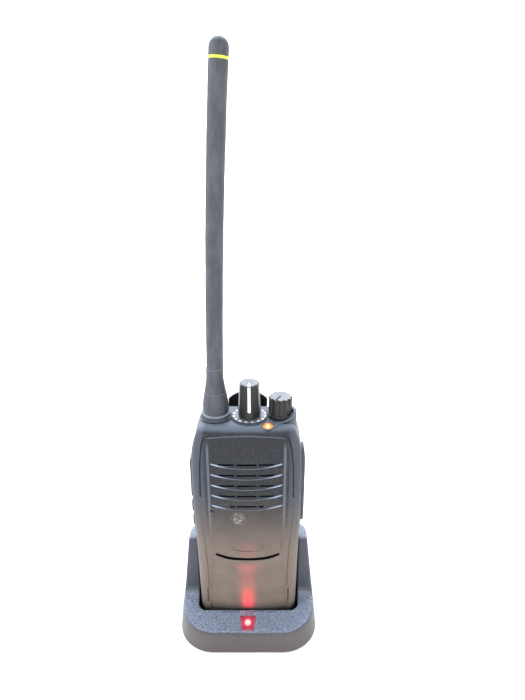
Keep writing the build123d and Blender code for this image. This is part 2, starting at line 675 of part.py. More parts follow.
def clip_screws():
    """Two screws that fix the clip's plate to the chassis."""
    one = screw(1.8, 0.9, 1.1, 4.4)
    return [Pos(x, BACK_Y + 2.03, CLIP_SCREW_Z) * Rot(-90, 0, 0) * one for x in CLIP_SCREWS_X]


def clip_hinge_pin():
    """Steel pin through the clip's ears and lever lugs."""
    return bar_x(CLIP_PIVOT_Y, CLIP_PIVOT_Z, -8.4, 8.4, 0.98)


def clip_spring():
    """Torsion spring round the pin that closes the clip."""
    turns = [
        Pos(-3.1 + 0.95 * i, CLIP_PIVOT_Y, CLIP_PIVOT_Z) * Rot(0, 90, 0) * Torus(1.55, 0.38) for i in range(7)
    ]
    return turns


def clip_lever_path(offset):
    """Side line of the lever, from its top to its tip, moved towards the radio by offset."""
    y = CLIP_PIVOT_Y + 4.4 - offset
    low, bend = CLIP_LOW_Z + 3.0, 90.0
    return [
        Line((y, CLIP_TOP_Z + 2), (y, bend)),
        ThreePointArc((y, bend), (y - 1.5, (low + bend) / 2 + 1), (y - 5.6, low)),
    ]


def clip_lever():
    """Long clip lever: thumb tab with a rounded top, lugs for the pin and a tip close to the battery."""
    thick = 2.0
    outer, inner = clip_lever_path(0), clip_lever_path(thick)
    ends = [Line(outer[0] @ 0, inner[0] @ 0), Line(outer[-1] @ 1, inner[-1] @ 1)]
    lever = side_prism(make_face(Curve() + outer + inner + ends), -20, 20)
    top_r = 13.0
    drop = top_r - math.sqrt(top_r**2 - CLIP_HALF**2)
    side = Curve() + [
        ThreePointArc((-CLIP_HALF, CLIP_TOP_Z - drop), (0, CLIP_TOP_Z), (CLIP_HALF, CLIP_TOP_Z - drop)),
        Line((CLIP_HALF, CLIP_TOP_Z - drop), (8.0, CLIP_LOW_Z)),
        Line((8.0, CLIP_LOW_Z), (-8.0, CLIP_LOW_Z)),
        Line((-8.0, CLIP_LOW_Z), (-CLIP_HALF, CLIP_TOP_Z - drop)),
    ]
    lever &= front_prism(make_face(side), 5, 40)
    lever = fillet(lever.faces().sort_by(Axis.Y)[-1].edges().group_by(Axis.Z)[-1], 0.7)
    tip = Pos(CLIP_PIVOT_Y - 2.05, CLIP_LOW_Z + 2.4)
    pad = side_prism(tip * SlotOverall(6.2, 2.3, rotation=24), -7.9, 7.9)
    lugs = []
    for x in (-8.0, 6.2):
        lugs.append(bar_x(CLIP_PIVOT_Y, CLIP_PIVOT_Z, x, x + 1.8, 2.0))
        depth = (CLIP_PIVOT_Y, CLIP_PIVOT_Y + 2.6)
        lugs.append(block((x, x + 1.8), depth, (CLIP_PIVOT_Z - 2, CLIP_PIVOT_Z + 2)))
    lever = lever + pad + lugs
    return lever - bar_x(CLIP_PIVOT_Y, CLIP_PIVOT_Z, -9, 9, 1.03)


# ---------------------------------------------------------------- charger
def charger_plan(inset=0.0, height=0.0):
    """The charger's outline at a height above its base: the back leans forward more than the other walls."""
    draft = inset + SIDE_DRAFT * height
    half = CHARGER_HALF - draft
    front, back = CHARGER_FRONT + draft, CHARGER_BACK - inset - BACK_DRAFT * height
    sheet = Pos(0, (front + back) / 2) * Rectangle(2 * half, back - front)
    sheet = fillet(sheet.vertices().group_by(Axis.Y)[0], FRONT_CORNER_R - draft)
    return fillet(sheet.vertices().group_by(Axis.Y)[-1], REAR_CORNER_R - inset)


def charger_profile(inset=0.0):
    """Side profile: front band, plate rising to the pocket, upright ears and a top that falls to the back."""
    i = inset
    plate_z = BAND_Z + PLATE_SLOPE * (-12.0 - CHARGER_FRONT - 1.2)
    return rounded_polygon(
        (-40, -5, 0),
        (-40, plate_z - PLATE_SLOPE * 28 - i, 0),
        (-12.0, plate_z - i, 30),
        (EAR_Y + i, plate_z + 1.5 - i, 5.0 + i),
        (EAR_Y + 0.5 + i, EAR_TOP_Z - i, 1.3),
        (45, EAR_TOP_Z - EAR_SLOPE * 47.7 - i, 0),
        (45, -5, 0),
    )


def charger_body(inset=0.0):
    """The charger's solid outer form, or the same form drawn in by a wall thickness."""
    low, high = (BASE_Z, 58.0) if inset == 0 else (-2.0, 58.0)
    outlines = [Pos(0, 0, z) * charger_plan(inset, z - BASE_Z) for z in (low, high)]
    return loft(outlines, ruled=True) & side_prism(charger_profile(inset), -50, 50)


def pocket_plan(grow):
    """Plan of the pocket that the radio stands in."""
    width = 2 * (POCKET_HALF + grow)
    depth = POCKET_BACK - POCKET_FRONT + 2 * grow
    sheet = Pos(0, (POCKET_BACK + POCKET_FRONT) / 2) * Rectangle(width, depth)
    return fillet(sheet.vertices(), POCKET_CORNER_R + grow)


def charger_housing():
    """Upper housing: outer skin, pocket tub, lens opening, contact window and inlet opening."""
    outer = charger_body()
    outer = fillet(charger_rim(outer), 1.1)
    pocket = extrude(Pos(0, 0, POCKET_FLOOR) * pocket_plan(0), amount=80)
    tub = extrude(Pos(0, 0, POCKET_FLOOR - 1.6) * pocket_plan(CHARGER_WALL), amount=80) & outer
    skin = outer - charger_body(CHARGER_WALL)
    housing = skin + tub - pocket
    housing = fillet(housing.edges().filter_by(on_pocket_rim), 0.8)
    housing -= lens_seat(0.1, 6)
    housing -= rim_recess()
    housing -= [block((x - 2.0, x + 2.0), (10, 18), (10.0, 20.0)) for x in TERMINALS_X]
    housing -= bar_y(0, INLET_Z, 20, 40, 5.0)
    bosses = [post(x, y, 2.9, 36, 2.6) for x, y in base_boss_places()]
    housing += [boss & charger_body(0.8) for boss in bosses]
    return housing - [post(x, y, 0, 8.0, 0.95) for x, y in base_boss_places()]


INLET_Z = 11.8


def on_pocket_rim(edge):
    """True for the top edge of the pocket, all round."""
    box = edge.bounding_box()
    middle = edge.center()
    inside = abs(middle.X) < POCKET_HALF + 0.2 and POCKET_FRONT - 0.2 < middle.Y < POCKET_BACK + 0.2
    return inside and box.min.Z > 12.5 and on_pocket_wall(edge)


def on_pocket_wall(edge):
    """True if all of an edge lies on the pocket's upright wall."""
    outline = Face(pocket_plan(0).faces()[0].outer_wire())
    points = [edge @ t for t in (0.1, 0.5, 0.9)]
    ring = outline.outer_wire()
    return all(ring.distance_to(Vertex(p.X, p.Y, 0)) < 0.02 for p in points)


def charger_rim(body):
    """The upper edges of the charger's outer walls and the ears' front edge."""
    walls = body.faces().filter_by(
        lambda f: 9 < f.bounding_box().max.Z and f.bounding_box().min.Z < BASE_Z + 0.1
    )
    return walls.edges().filter_by(lambda e: e.bounding_box().min.Z > 9)


def lens_outline(grow):
    """Tapered window of the charge light, wider towards the pocket."""
    g = grow
    corners = [(-2.9 - g, -23.1 - g), (2.9 + g, -23.1 - g), (3.9 + g, -16.3 + g), (-3.9 - g, -16.3 + g)]
    return fillet(Polygon(*corners, align=None).vertices(), 0.7)


def lens_seat(grow, depth):
    """The upright opening in the plate for the charge light's lens."""
    return extrude(Pos(0, 0, 13.9 - depth) * lens_outline(grow), amount=depth + 6)


def charge_light_lens():
    """Red window of the charge light: follows the plate, a little proud, hollow below for the lamp."""
    lens = extrude(Pos(0, 0, 8.6) * lens_outline(0), amount=8) & side_prism(lens_profile(), -10, 10)
    lens = chamfer(lens.faces().sort_by(Axis.Z)[-1].edges(), 0.35)
    return lens - post(0, -19.6, 7, 10.8, 2.0)


def lens_profile():
    """Side profile whose top lies 0.45 mm above the plate."""
    low = BAND_Z + PLATE_SLOPE * (-30 - CHARGER_FRONT - 1.2) + 0.45
    return make_face(Polyline((-30, 5), (-30, low), (-10, low + PLATE_SLOPE * 20), (-10, 5), close=True))


def rim_recess():
    """Shallow rectangular panel in the pocket's front rim."""
    y = -14.4
    z = BAND_Z + PLATE_SLOPE * (y - CHARGER_FRONT - 1.2)
    return Pos(-0.4, y, z) * Rot(math.degrees(math.atan(PLATE_SLOPE)), 0, 0) * Box(28.0, 1.1, 0.6)


def base_boss_places():
    """Screw bosses (x, y) of the base plate."""
    return [(x, y) for y in (-8.5, 25.5) for x in (-27.5, 27.5)]


def charger_base_plate():
    """Bottom cover of the charger with recesses for the feet and screws."""
    plate = extrude(Pos(0, 0, BASE_Z) * charger_plan(CHARGER_WALL + 0.7), amount=1.8)
    plate -= [post(x, y, 0, 1.5, 4.2) for x, y in foot_places()]
    plate -= [post(x, y, 0, 4, 1.2) for x, y in base_boss_places()]
    plate -= [post(x, y, 0, 1.9, 2.3) for x, y in base_boss_places()]
    vents = [block((-12, 12), (y - 0.6, y + 0.6), (0, 4)) for y in (19.0, 22.0, 25.0, 28.0)]
    return plate - vents


def foot_places():
    """Centres of the four rubber feet."""
    return [(-21.0, -16.0), (21.0, -16.0), (-18.0, 24.5), (18.0, 24.5)]


def rubber_feet():
    """Four stick-on rubber feet."""
    return [fillet(post(x, y, 0, 1.48, 4.0).edges().group_by(Axis.Z)[0], 0.35) for x, y in foot_places()]


def base_plate_screws():
    """Four screws from below into the housing's bosses."""
    one = screw(2.1, 0.9, 0.85, 4.8)
    return [Pos(x, y, 1.87) * Rot(180, 0, 0) * one for x, y in base_boss_places()]


def charger_circuit_board():
    """Charging circuit board behind the pocket."""
    board = block((-21.5, 21.5), (15.9, 28.4), (4.2, 5.6))
    return board - [post(x, y, 3, 7, 3.0) for x, y in base_boss_places()]


def charger_power_parts():
    """Coil, capacitor and regulator on the charging board."""
    coil = post(-14.0, 21.8, 5.62, 11.0, 4.3) - post(-14.0, 21.8, 7, 12, 1.5)
    capacitor = fillet(post(13.0, 22.0, 5.62, 12.0, 3.4).edges().group_by(Axis.Z)[-1], 0.6)
    regulator = block((-8.5, -6.7), (17.8, 23.8), (5.62, 17.0))
    return [coil, capacitor, regulator]


def dc_inlet_socket():
    """Round power inlet with its centre pin, facing the back."""
    body = rounded_box((-4.4, 4.4), (17.7, 25.2), (5.62, 16.2), 0.5, Axis.Y)
    body += bar_y(0, INLET_Z, 25.1, 27.9, 4.4)
    return body - bar_y(0, INLET_Z, 19.7, 40, 3.15) + bar_y(0, INLET_Z, 19.2, 27.0, 1.0)


def contact_carrier():
    """Plastic block on the board that holds the three contact leaves."""
    body = block((-13.2, 13.2), (15.4, 15.85), (5.7, 9.6))
    foot = block((-13.2, 13.2), (15.4, 17.3), (5.62, 6.6))
    return body + foot


def charge_contact(x):
    """One sprung contact leaf, bent to a rounded nose that reaches through the pocket's back wall."""
    side = (x - 1.6, x + 1.6)
    leaf = block(side, (16.2, 16.55), (7.0, 19.0))
    arms = [block(side, (13.8, 16.3), (z, z + 0.4)) for z in (13.2, 16.4)]
    nose = bar_x(14.55, 15.0, *side, 1.9) - bar_x(14.55, 15.0, *side, 1.45)
    nose &= block(side, (12, 14.2), (13.2, 16.8))
    return leaf + arms + nose


def led_board():
    """Small board under the charge light."""
    return block((-8, 8), (-22.0, -16.0), (5.0, 6.2))


def charge_led():
    """Round charge lamp under its lens."""
    dome = fillet(post(0, -19.6, 6.22, 10.4, 1.5).edges().group_by(Axis.Z)[-1], 1.2)
    return dome + post(0, -19.6, 6.22, 7.0, 1.8)


# ---------------------------------------------------------------- export
NODES = {
    "charger_housing": charger_housing,
    "charger_base_plate": charger_base_plate,
    "rubber_feet": rubber_feet,
    "base_plate_screws": base_plate_screws,
    "charger_circuit_board": charger_circuit_board,
    "charger_power_parts": charger_power_parts,
    "dc_inlet_socket": dc_inlet_socket,
    "contact_carrier": contact_carrier,
    "led_board": led_board,
    "charge_led": charge_led,
    "charge_light_lens": charge_light_lens,
    "charge_contact_left": lambda: charge_contact(TERMINALS_X[0]),
    "charge_contact_middle": lambda: charge_contact(TERMINALS_X[1]),
    "charge_contact_right": lambda: charge_contact(TERMINALS_X[2]),
    "front_case": front_case,
    "rear_chassis": rear_chassis,
    "chassis_screws": chassis_screws,
    "speaker": speaker,
    "speaker_cone": speaker_cone,
    "speaker_cloth": speaker_cloth,
    "microphone": microphone,
    "main_circuit_board": main_circuit_board,
    "shield_cans": shield_cans,
    "antenna_connector": antenna_connector,
    "antenna_sleeve": antenna_sleeve,
    "antenna_whip": antenna_whip,
    "antenna_band": antenna_band,
    "channel_switch": channel_switch,
    "channel_dial": channel_dial,
    "channel_knob": channel_knob,
    "channel_knob_pointer": channel_knob_pointer,
    "channel_shaft": channel_shaft,
    "volume_control": volume_control,
    "volume_knob": volume_knob,
    "volume_shaft": volume_shaft,
    "status_light_pipe": status_light_pipe,
    "status_led": status_led,
    "side_switch_board": side_switch_board,
    "ptt_key": lambda: side_key("ptt_key"),
    "upper_side_key": lambda: side_key("upper_side_key"),
    "lower_side_key": lambda: side_key("lower_side_key"),
    "jack_sockets": jack_sockets,
    "jack_cover": jack_cover,
    "jack_cover_screw": jack_cover_screw,
    "battery_case": battery_case,
    "battery_cover": battery_cover,
    "battery_cells": battery_cells,
    "battery_protection_board": battery_protection_board,
    "battery_terminals": battery_terminals,
    "battery_latch": battery_latch,
    "clip_base": clip_base,
    "clip_screws": clip_screws,
    "clip_hinge_pin": clip_hinge_pin,
    "clip_spring": clip_spring,
    "clip_lever": clip_lever,
}


def export_nodes():
    """Writes one STEP file per node, moved so that the charger's footprint is centred on the origin."""
    os.makedirs("parts", exist_ok=True)
    for name, make in NODES.items():
        made = make()
        solids = []
        for item in made if isinstance(made, (list, tuple)) else [made]:
            solids += item.solids()
        placed = [Pos(0, RADIO_Y, 0) * solid for solid in solids]
        export_step(placed[0] if len(placed) == 1 else Compound(children=placed), f"parts/{name}.step")


export_nodes()
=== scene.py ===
"""Portable two-way radio in its desk charger: fine pieces, finishes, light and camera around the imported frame."""

import math

import bmesh
import bpy
import numpy as np
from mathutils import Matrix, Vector


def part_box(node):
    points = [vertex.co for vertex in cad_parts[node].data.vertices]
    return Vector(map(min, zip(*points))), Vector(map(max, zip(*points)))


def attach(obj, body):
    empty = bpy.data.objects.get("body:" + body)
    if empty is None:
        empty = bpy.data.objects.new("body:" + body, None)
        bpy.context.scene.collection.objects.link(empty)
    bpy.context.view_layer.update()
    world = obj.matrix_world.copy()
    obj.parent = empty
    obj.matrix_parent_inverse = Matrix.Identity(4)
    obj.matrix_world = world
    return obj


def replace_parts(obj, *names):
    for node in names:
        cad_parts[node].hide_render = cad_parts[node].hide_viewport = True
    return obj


bl_info = {
    "name": "Portable radio in its charger",
    "version": (1, 0, 0),
    "blender": (4, 5, 0),
    "location": "View3D > Sidebar > Radio",
    "description": "Builds the fine pieces, finishes and studio of a handheld radio standing in a desk charger",
    "category": "Object",
}

MM = 0.001
CROWN = 0.300  # the front's crown: it falls back by x^2 / CROWN on either side of the middle
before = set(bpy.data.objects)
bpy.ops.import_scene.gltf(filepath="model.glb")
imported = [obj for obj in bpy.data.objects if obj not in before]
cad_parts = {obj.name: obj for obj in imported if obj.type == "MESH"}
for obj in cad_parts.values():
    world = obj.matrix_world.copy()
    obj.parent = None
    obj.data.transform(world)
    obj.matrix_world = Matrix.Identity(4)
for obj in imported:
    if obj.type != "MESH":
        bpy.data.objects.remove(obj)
bpy.context.view_layer.update()


def span(name):
    """Lowest corner, highest corner and centre of a node, in metres."""
    low, high = (np.array(corner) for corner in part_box(name))
    return low, high, (low + high) / 2


CASE_LOW = span("front_case")[0]
_, DIAL_HIGH, DIAL_MID = span("channel_dial")
SLEEVE_LOW, SLEEVE_HIGH, SLEEVE_MID = span("antenna_sleeve")
WHIP_LOW, WHIP_HIGH, WHIP_MID = span("antenna_whip")
SPRING_LOW, SPRING_HIGH, SPRING_MID = span("clip_spring")
_, LENS_HIGH, LENS_MID = span("charge_light_lens")
LAMP_MID = span("charge_led")[2]
PIPE_LOW, PIPE_HIGH, PIPE_MID = span("status_light_pipe")


# ---------------------------------------------------------------- sizes and colours
def linear(code):
    """Linear red, green and blue of an sRGB hex colour: c/12.92 up to 0.04045, else ((c+0.055)/1.055) to the 2.4."""
    parts = [int(code[i:i + 2], 16) / 255 for i in (1, 3, 5)]
    return tuple(c / 12.92 if c <= 0.04045 else ((c + 0.055) / 1.055) ** 2.4 for c in parts)


def colour_property(name, description, code):
    """A colour that the user can change, from its sRGB hex value."""
    return bpy.props.FloatVectorProperty(
        name=name, description=description, subtype="COLOR", size=3, min=0, max=1, default=linear(code)
    )


def length_property(name, description, millimetres):
    """A length that the user can change, from its size in millimetres."""
    return bpy.props.FloatProperty(
        name=name, description=description, subtype="DISTANCE", unit="LENGTH", default=millimetres * MM
    )


class RadioSizes(bpy.types.PropertyGroup):
    """Sizes of the fine pieces"""

    lip_radius: length_property("Grille lip radius", "Thickness of the bead under each grille slot", 0.5)
    lip_half: length_property("Grille lip half width", "Half the width of each grille slot's crescent", 16.2)
    lip_drop: length_property("Grille lip drop", "How far the crescent hangs below the slot at its middle", 2.3)
    slot_pitch: length_property("Slot pitch", "Height from one grille slot to the next", 5.55)
    chin_radius: length_property("Chin bead radius", "Rounding of the step across the lower front", 0.32)
    mark_radius: length_property("Dial mark radius", "Radius of one position mark", 0.56)
    mark_ring: length_property("Dial mark ring", "Radius of the ring of position marks", 7.15)
    mark_count: bpy.props.IntProperty(name="Dial marks", description="Number of channel positions", default=16)
    spring_wire: length_property("Spring wire radius", "Radius of the belt clip spring's wire", 0.38)
    spring_radius: length_property("Spring radius", "Radius of the spring's middle line round its pin", 1.55)
    spring_turns: bpy.props.IntProperty(name="Spring turns", description="Number of turns of the spring", default=6)


class RadioColours(bpy.types.PropertyGroup):
    """Colours of the finishes"""

    shell: colour_property("Radio shell", "Moulded polycarbonate of the radio", "#14181e")
    # this tint also stands for painted warm light from the table on the lower shell
    dust: colour_property("Handling dust", "Fine dust and wear on the lower half of the shell", "#635951")
    charger: colour_property("Charger shell", "Spark-eroded ABS of the charger", "#1c1e24")
    charger_grain: colour_property("Charger grain", "Light that the coarse grain catches", "#8490a6")
    knob: colour_property("Knobs", "Moulded nylon of knobs and clip", "#101113")
    rubber: colour_property("Keys", "Silicone rubber of the keys", "#1f2023")
    antenna: colour_property("Antenna", "Elastomer of the antenna", "#262a32")
    band: colour_property("Antenna ring", "Coloured ring near the antenna's tip", "#aab236")
    mark: colour_property("Marks", "White filled line and dial marks", "#eef0ee")
    amber: colour_property("Status light", "Lit status light", "#ff9440")
    red: colour_property("Charge light", "Lit charge light", "#e0405c")


class RadioStudio(bpy.types.PropertyGroup):
    """Light and floor"""

    floor: colour_property("Floor", "Pale floor", "#f4f3f1")
    sky: bpy.props.FloatProperty(name="Sky", description="Strength of the white surroundings", default=0.45)
    key: bpy.props.FloatProperty(name="Key light", description="Power of the soft light above", default=22.0)
    glow: bpy.props.FloatProperty(name="Charge light glow", description="Power of the red beam", default=0.0011)


# ---------------------------------------------------------------- meshes
def build_piece(name, patches, material, body, crease=40.0):
    """Joins grids of points into one mesh. A patch is (points, round) with points as rows x columns x 3, and round
    True where the last column joins the first. Rows that fall on one point are poles: their doubles are merged."""
    points, quads, base = [], [], 0
    for grid, wraps in patches:
        rows, columns = grid.shape[:2]
        index = np.arange(rows * columns).reshape(rows, columns) + base
        if wraps:
            index = np.hstack([index, index[:, :1]])
        quads.append(
            np.stack([index[:-1, :-1], index[:-1, 1:], index[1:, 1:], index[1:, :-1]], axis=-1).reshape(-1, 4)
        )
        points.append(grid.reshape(-1, 3))
        base += rows * columns
    mesh = bpy.data.meshes.new(name)
    mesh.from_pydata(np.vstack(points).tolist(), [], np.vstack(quads).tolist())
    work = bmesh.new()
    work.from_mesh(mesh)
    bmesh.ops.remove_doubles(work, verts=work.verts, dist=1e-7)
    bmesh.ops.recalc_face_normals(work, faces=work.faces)
    work.to_mesh(mesh)
    work.free()
    mesh.polygons.foreach_set("use_smooth", np.ones(len(mesh.polygons), bool))
    mesh.set_sharp_from_angle(angle=math.radians(crease))
    mesh.materials.append(material)
    made = bpy.data.objects.new(name, mesh)
    bpy.context.scene.collection.objects.link(made)
    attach(made, body)
    return made


def tube(line, radius, sides=24):
    """A round tube: at each point of a line, a circle of that point's radius in the plane square to the line. The
    circle's first axis is the line's direction turned off a fixed side axis, so that it never twists."""
    along = np.gradient(line, axis=0)
    along /= np.linalg.norm(along, axis=1, keepdims=True)
    side = np.cross(along, (0.0, 1.0, 0.0))
    side /= np.linalg.norm(side, axis=1, keepdims=True)
    up = np.cross(side, along)
    turn = np.linspace(0, 2 * math.pi, sides, endpoint=False)
    ring = np.cos(turn)[None, :, None] * side[:, None, :] + np.sin(turn)[None, :, None] * up[:, None, :]
    return line[:, None, :] + np.reshape(radius, (-1, 1, 1)) * ring


def turned(profile, centre, sides=64):
    """A turned form: each (radius, height) of the profile is a level circle round the upright axis at centre."""
    turn = np.linspace(0, 2 * math.pi, sides, endpoint=False)
    radius, height = profile[:, 0, None], profile[:, 1, None]
    flat = np.broadcast_to(height, (len(profile), sides))
    return np.stack([centre[0] + radius * np.cos(turn), centre[1] + radius * np.sin(turn), flat], axis=-1)


# ---------------------------------------------------------------- finishes
def add(tree, kind, settings=None, sockets=None):
    """Adds a node, sets its own settings, then fills its sockets by name or number, or links them to an output."""
    made = tree.nodes.new(kind)
    for key, value in (settings or {}).items():
        setattr(made, key, value)
    for key, value in (sockets or {}).items():
        if isinstance(value, bpy.types.NodeSocket):
            tree.links.new(value, made.inputs[key])
        else:
            made.inputs[key].default_value = value
    return made


def begin(name):
    """A new material, its tree, and Object coordinates in metres, which stay with the piece as it moves."""
    material = bpy.data.materials.new(name)
    material.use_nodes = True
    material.node_tree.nodes.clear()
    place = add(material.node_tree, "ShaderNodeTexCoord").outputs["Object"]
    return material, material.node_tree, place


def finish(material, sockets):
    """Adds the shader with its sockets, and the output."""
    tree = material.node_tree
    shader = add(tree, "ShaderNodeBsdfPrincipled", {}, sockets)
    add(tree, "ShaderNodeOutputMaterial", {}, {"Surface": shader.outputs["BSDF"]})
    return material


def opaque(colour):
    """Red, green, blue and full alpha."""
    return (*colour[:3], 1.0)


def per(millimetres):
    """Texture scale that makes one cell of a pattern this size."""
    return 1.0 / (millimetres * MM)


def grain(tree, place, size, depth, strength=1.0):
    """Bump of an eroded or moulded grain: noise with cells of that size and depth, both in millimetres."""
    noise = add(tree, "ShaderNodeTexNoise", {}, {"Vector": place, "Scale": per(size), "Detail": 2.0})
    bump = add(
        tree, "ShaderNodeBump", {}, {"Height": noise.outputs["Fac"], "Distance": depth * MM, "Strength": strength}
    )
    return noise.outputs["Fac"], bump.outputs["Normal"]


def tint(tree, share, first, second):
    """Colour that goes from the first to the second as share goes from 0 to 1."""
    return add(tree, "ShaderNodeMix", {"data_type": "RGBA"}, {0: share, 6: first, 7: second}).outputs[2]


def ramp(tree, value, start, end, low=0.0, high=1.0):
    """Value eased from low at start to high at end, and held outside them."""
    return add(
        tree, "ShaderNodeMapRange", {"interpolation_type": "SMOOTHSTEP"},
        {"Value": value, "From Min": start, "From Max": end, "To Min": low, "To Max": high},
    ).outputs["Result"]


def times(tree, first, second, operation="MULTIPLY"):
    """Two values multiplied, or taken through another operation."""
    return add(tree, "ShaderNodeMath", {"operation": operation, "use_clamp": True}, {0: first, 1: second}).outputs[0]


def specks(tree, place, cell, radius, share):
    """Mask of scattered dust specks: one per cell of that size in millimetres, kept in a share of the cells."""
    cells = add(tree, "ShaderNodeTexVoronoi", {}, {"Vector": place, "Scale": per(cell)})
    spot = ramp(tree, cells.outputs["Distance"], radius / cell * 1.4, radius / cell * 0.7)
    chance = add(tree, "ShaderNodeSeparateColor", {}, {"Color": cells.outputs["Color"]}).outputs["Red"]
    return times(tree, spot, times(tree, chance, share, "LESS_THAN"))


def scuff(tree, place, centre, reach):
    """Mask of one scuffed patch: 1 at its centre, 0 at its reach, broken up by noise of 0.5 mm."""
    away = add(tree, "ShaderNodeVectorMath", {"operation": "DISTANCE"}, {0: place, 1: centre}).outputs["Value"]
    noise = add(tree, "ShaderNodeTexNoise", {}, {"Vector": place, "Scale": per(0.55), "Detail": 3.0}).outputs["Fac"]
    return times(tree, ramp(tree, away, reach, reach * 0.3), ramp(tree, noise, 0.52, 0.62))


def upward(tree):
    """1 on faces that look up, 0 on upright ones: where the painted sky highlight goes."""
    facing = add(tree, "ShaderNodeTexCoord").outputs["Normal"]
    return ramp(tree, add(tree, "ShaderNodeSeparateXYZ", {}, {0: facing}).outputs["Z"], 0.35, 0.95)


def from_middle(tree, axes):
    """How far to either side of the middle a point lies."""
    return add(tree, "ShaderNodeMath", {"operation": "ABSOLUTE"}, {0: axes["X"]}).outputs[0]


def slot_depth(tree, axes):
    """1 deep inside the front's slots and grooves, where no light reaches: the depth below the crowned front,
    y - face - x^2/300 in mm, taken between the flanks, from the foot of the panel up to the top slot."""
    bow = add(tree, "ShaderNodeMath", {"operation": "MULTIPLY"}, {0: axes["X"], 1: axes["X"]}).outputs[0]
    bow = add(tree, "ShaderNodeMath", {"operation": "DIVIDE"}, {0: bow, 1: CROWN}).outputs[0]
    depth = add(tree, "ShaderNodeMath", {"operation": "SUBTRACT"}, {0: axes["Y"], 1: bow}).outputs[0]
    deep = ramp(tree, depth, CASE_LOW[1] + 0.85 * MM, CASE_LOW[1] + 1.1 * MM)
    aside = from_middle(tree, axes)
    within = times(tree, ramp(tree, aside, 0.0172, 0.0166), ramp(tree, axes["Z"], 0.0440, 0.0446))
    return times(tree, deep, times(tree, within, ramp(tree, axes["Z"], 0.1030, 0.1022)))


def moulded_polycarbonate(colours):
    """Polycarbonate blend moulded in a finely eroded tool: satin, near black, greyed by handling dust lower down, with
    painted warm light from the table in the same tint. Its colour also carries a painted bluish sky highlight on the
    flanks, the panel's side borders and faces that look up, and painted shade round the foot.
    """
    material, tree, place = begin("moulded polycarbonate, fine eroded grain")
    fine, normal = grain(tree, place, 0.3, 0.012, 0.7)
    cloud = add(
        tree, "ShaderNodeTexNoise", {}, {"Vector": place, "Scale": per(7.0), "Detail": 5.0, "Roughness": 0.62}
    ).outputs["Fac"]
    axes = add(tree, "ShaderNodeSeparateXYZ", {}, {0: place}).outputs
    height, aside = axes["Z"], from_middle(tree, axes)
    # painted bluish sky highlight along the flanks, and the lower half keeps a fine dust that fades in below the
    # grille, with painted warm light from the table mixed into it
    flank = ramp(tree, aside, 0.0178, 0.0205, 0.0, 0.75)
    colour = tint(tree, flank, opaque(colours.shell), opaque(linear("#3b424d")))
    # painted highlight along the raised border at each side of the panel, between about 52 and 112 mm up
    ridge = times(tree, ramp(tree, aside, 0.0164, 0.0170), ramp(tree, aside, 0.0182, 0.0176))
    ridge = times(tree, ridge, times(tree, ramp(tree, height, 0.052, 0.070), ramp(tree, height, 0.112, 0.106)))
    colour = tint(tree, times(tree, ridge, 0.4), colour, opaque(linear("#69727f")))
    # dust fading in below the grille, partly painted warm light from the table
    paler_share = times(tree, ramp(tree, height, 0.088, 0.044), ramp(tree, cloud, 0.1, 0.75, 0.72, 1.0))
    colour = tint(tree, paler_share, colour, opaque(colours.dust))
    # painted shade and painted reflection of the dark pocket: the foot is darkened where the pocket's wall hides it
    # from the light
    colour = tint(tree, ramp(tree, height, 0.0200, 0.0125, 0.0, 0.75), colour, opaque(linear("#191b20")))
    colour = tint(tree, times(tree, ramp(tree, fine, 0.45, 0.75), 0.14), colour, opaque(linear("#8a8a8c")))
    # painted sky highlight: faces that look up are lightened to blue-grey
    colour = tint(tree, times(tree, upward(tree), 0.8), colour, opaque(linear("#66707f")))
    marks = [((-0.004, -0.0168, 0.0705), 0.0042), ((-0.0066, -0.0142, 0.1133), 0.0017)]
    for centre, reach in marks:
        mask = times(tree, scuff(tree, place, centre, reach), 0.6)
        colour = tint(tree, mask, colour, opaque(linear("#b9b9b8")))
    colour = tint(tree, times(tree, specks(tree, place, 5.0, 0.13, 0.4), 0.7), colour, opaque(linear("#c9c6c0")))
    colour = tint(tree, slot_depth(tree, axes), colour, opaque(linear("#020203")))
    rough = add(tree, "ShaderNodeMapRange", {}, {"Value": cloud, "To Min": 0.4, "To Max": 0.56}).outputs["Result"]
    return finish(material, {
        "Base Color": colour, "Roughness": rough, "IOR": 1.585, "Specular IOR Level": 0.16, "Normal": normal
    })


def highlit_polycarbonate(colours):
    """Polycarbonate edge smoothed by hands: the same black, glossier, so that it draws a bright line, and paled
    towards both ends of each bead to a painted bluish highlight.
    """
    material, tree, place = begin("polycarbonate edge, glossy, painted end highlights")
    fine, normal = grain(tree, place, 0.6, 0.004, 0.4)
    aside = from_middle(tree, add(tree, "ShaderNodeSeparateXYZ", {}, {0: place}).outputs)
    # painted highlight: blue-grey towards both ends of each bead, broken up by the grain
    rubbed_and_highlit = times(tree, ramp(tree, aside, 0.0075, 0.0150, 0.12, 1.0), ramp(tree, fine, 0.2, 0.6, 0.6, 1.0))
    colour = tint(tree, rubbed_and_highlit, opaque(linear("#262a33")), opaque(linear("#8797b0")))
    return finish(material, {"Base Color": colour, "Roughness": 0.24, "IOR": 1.585, "Normal": normal})


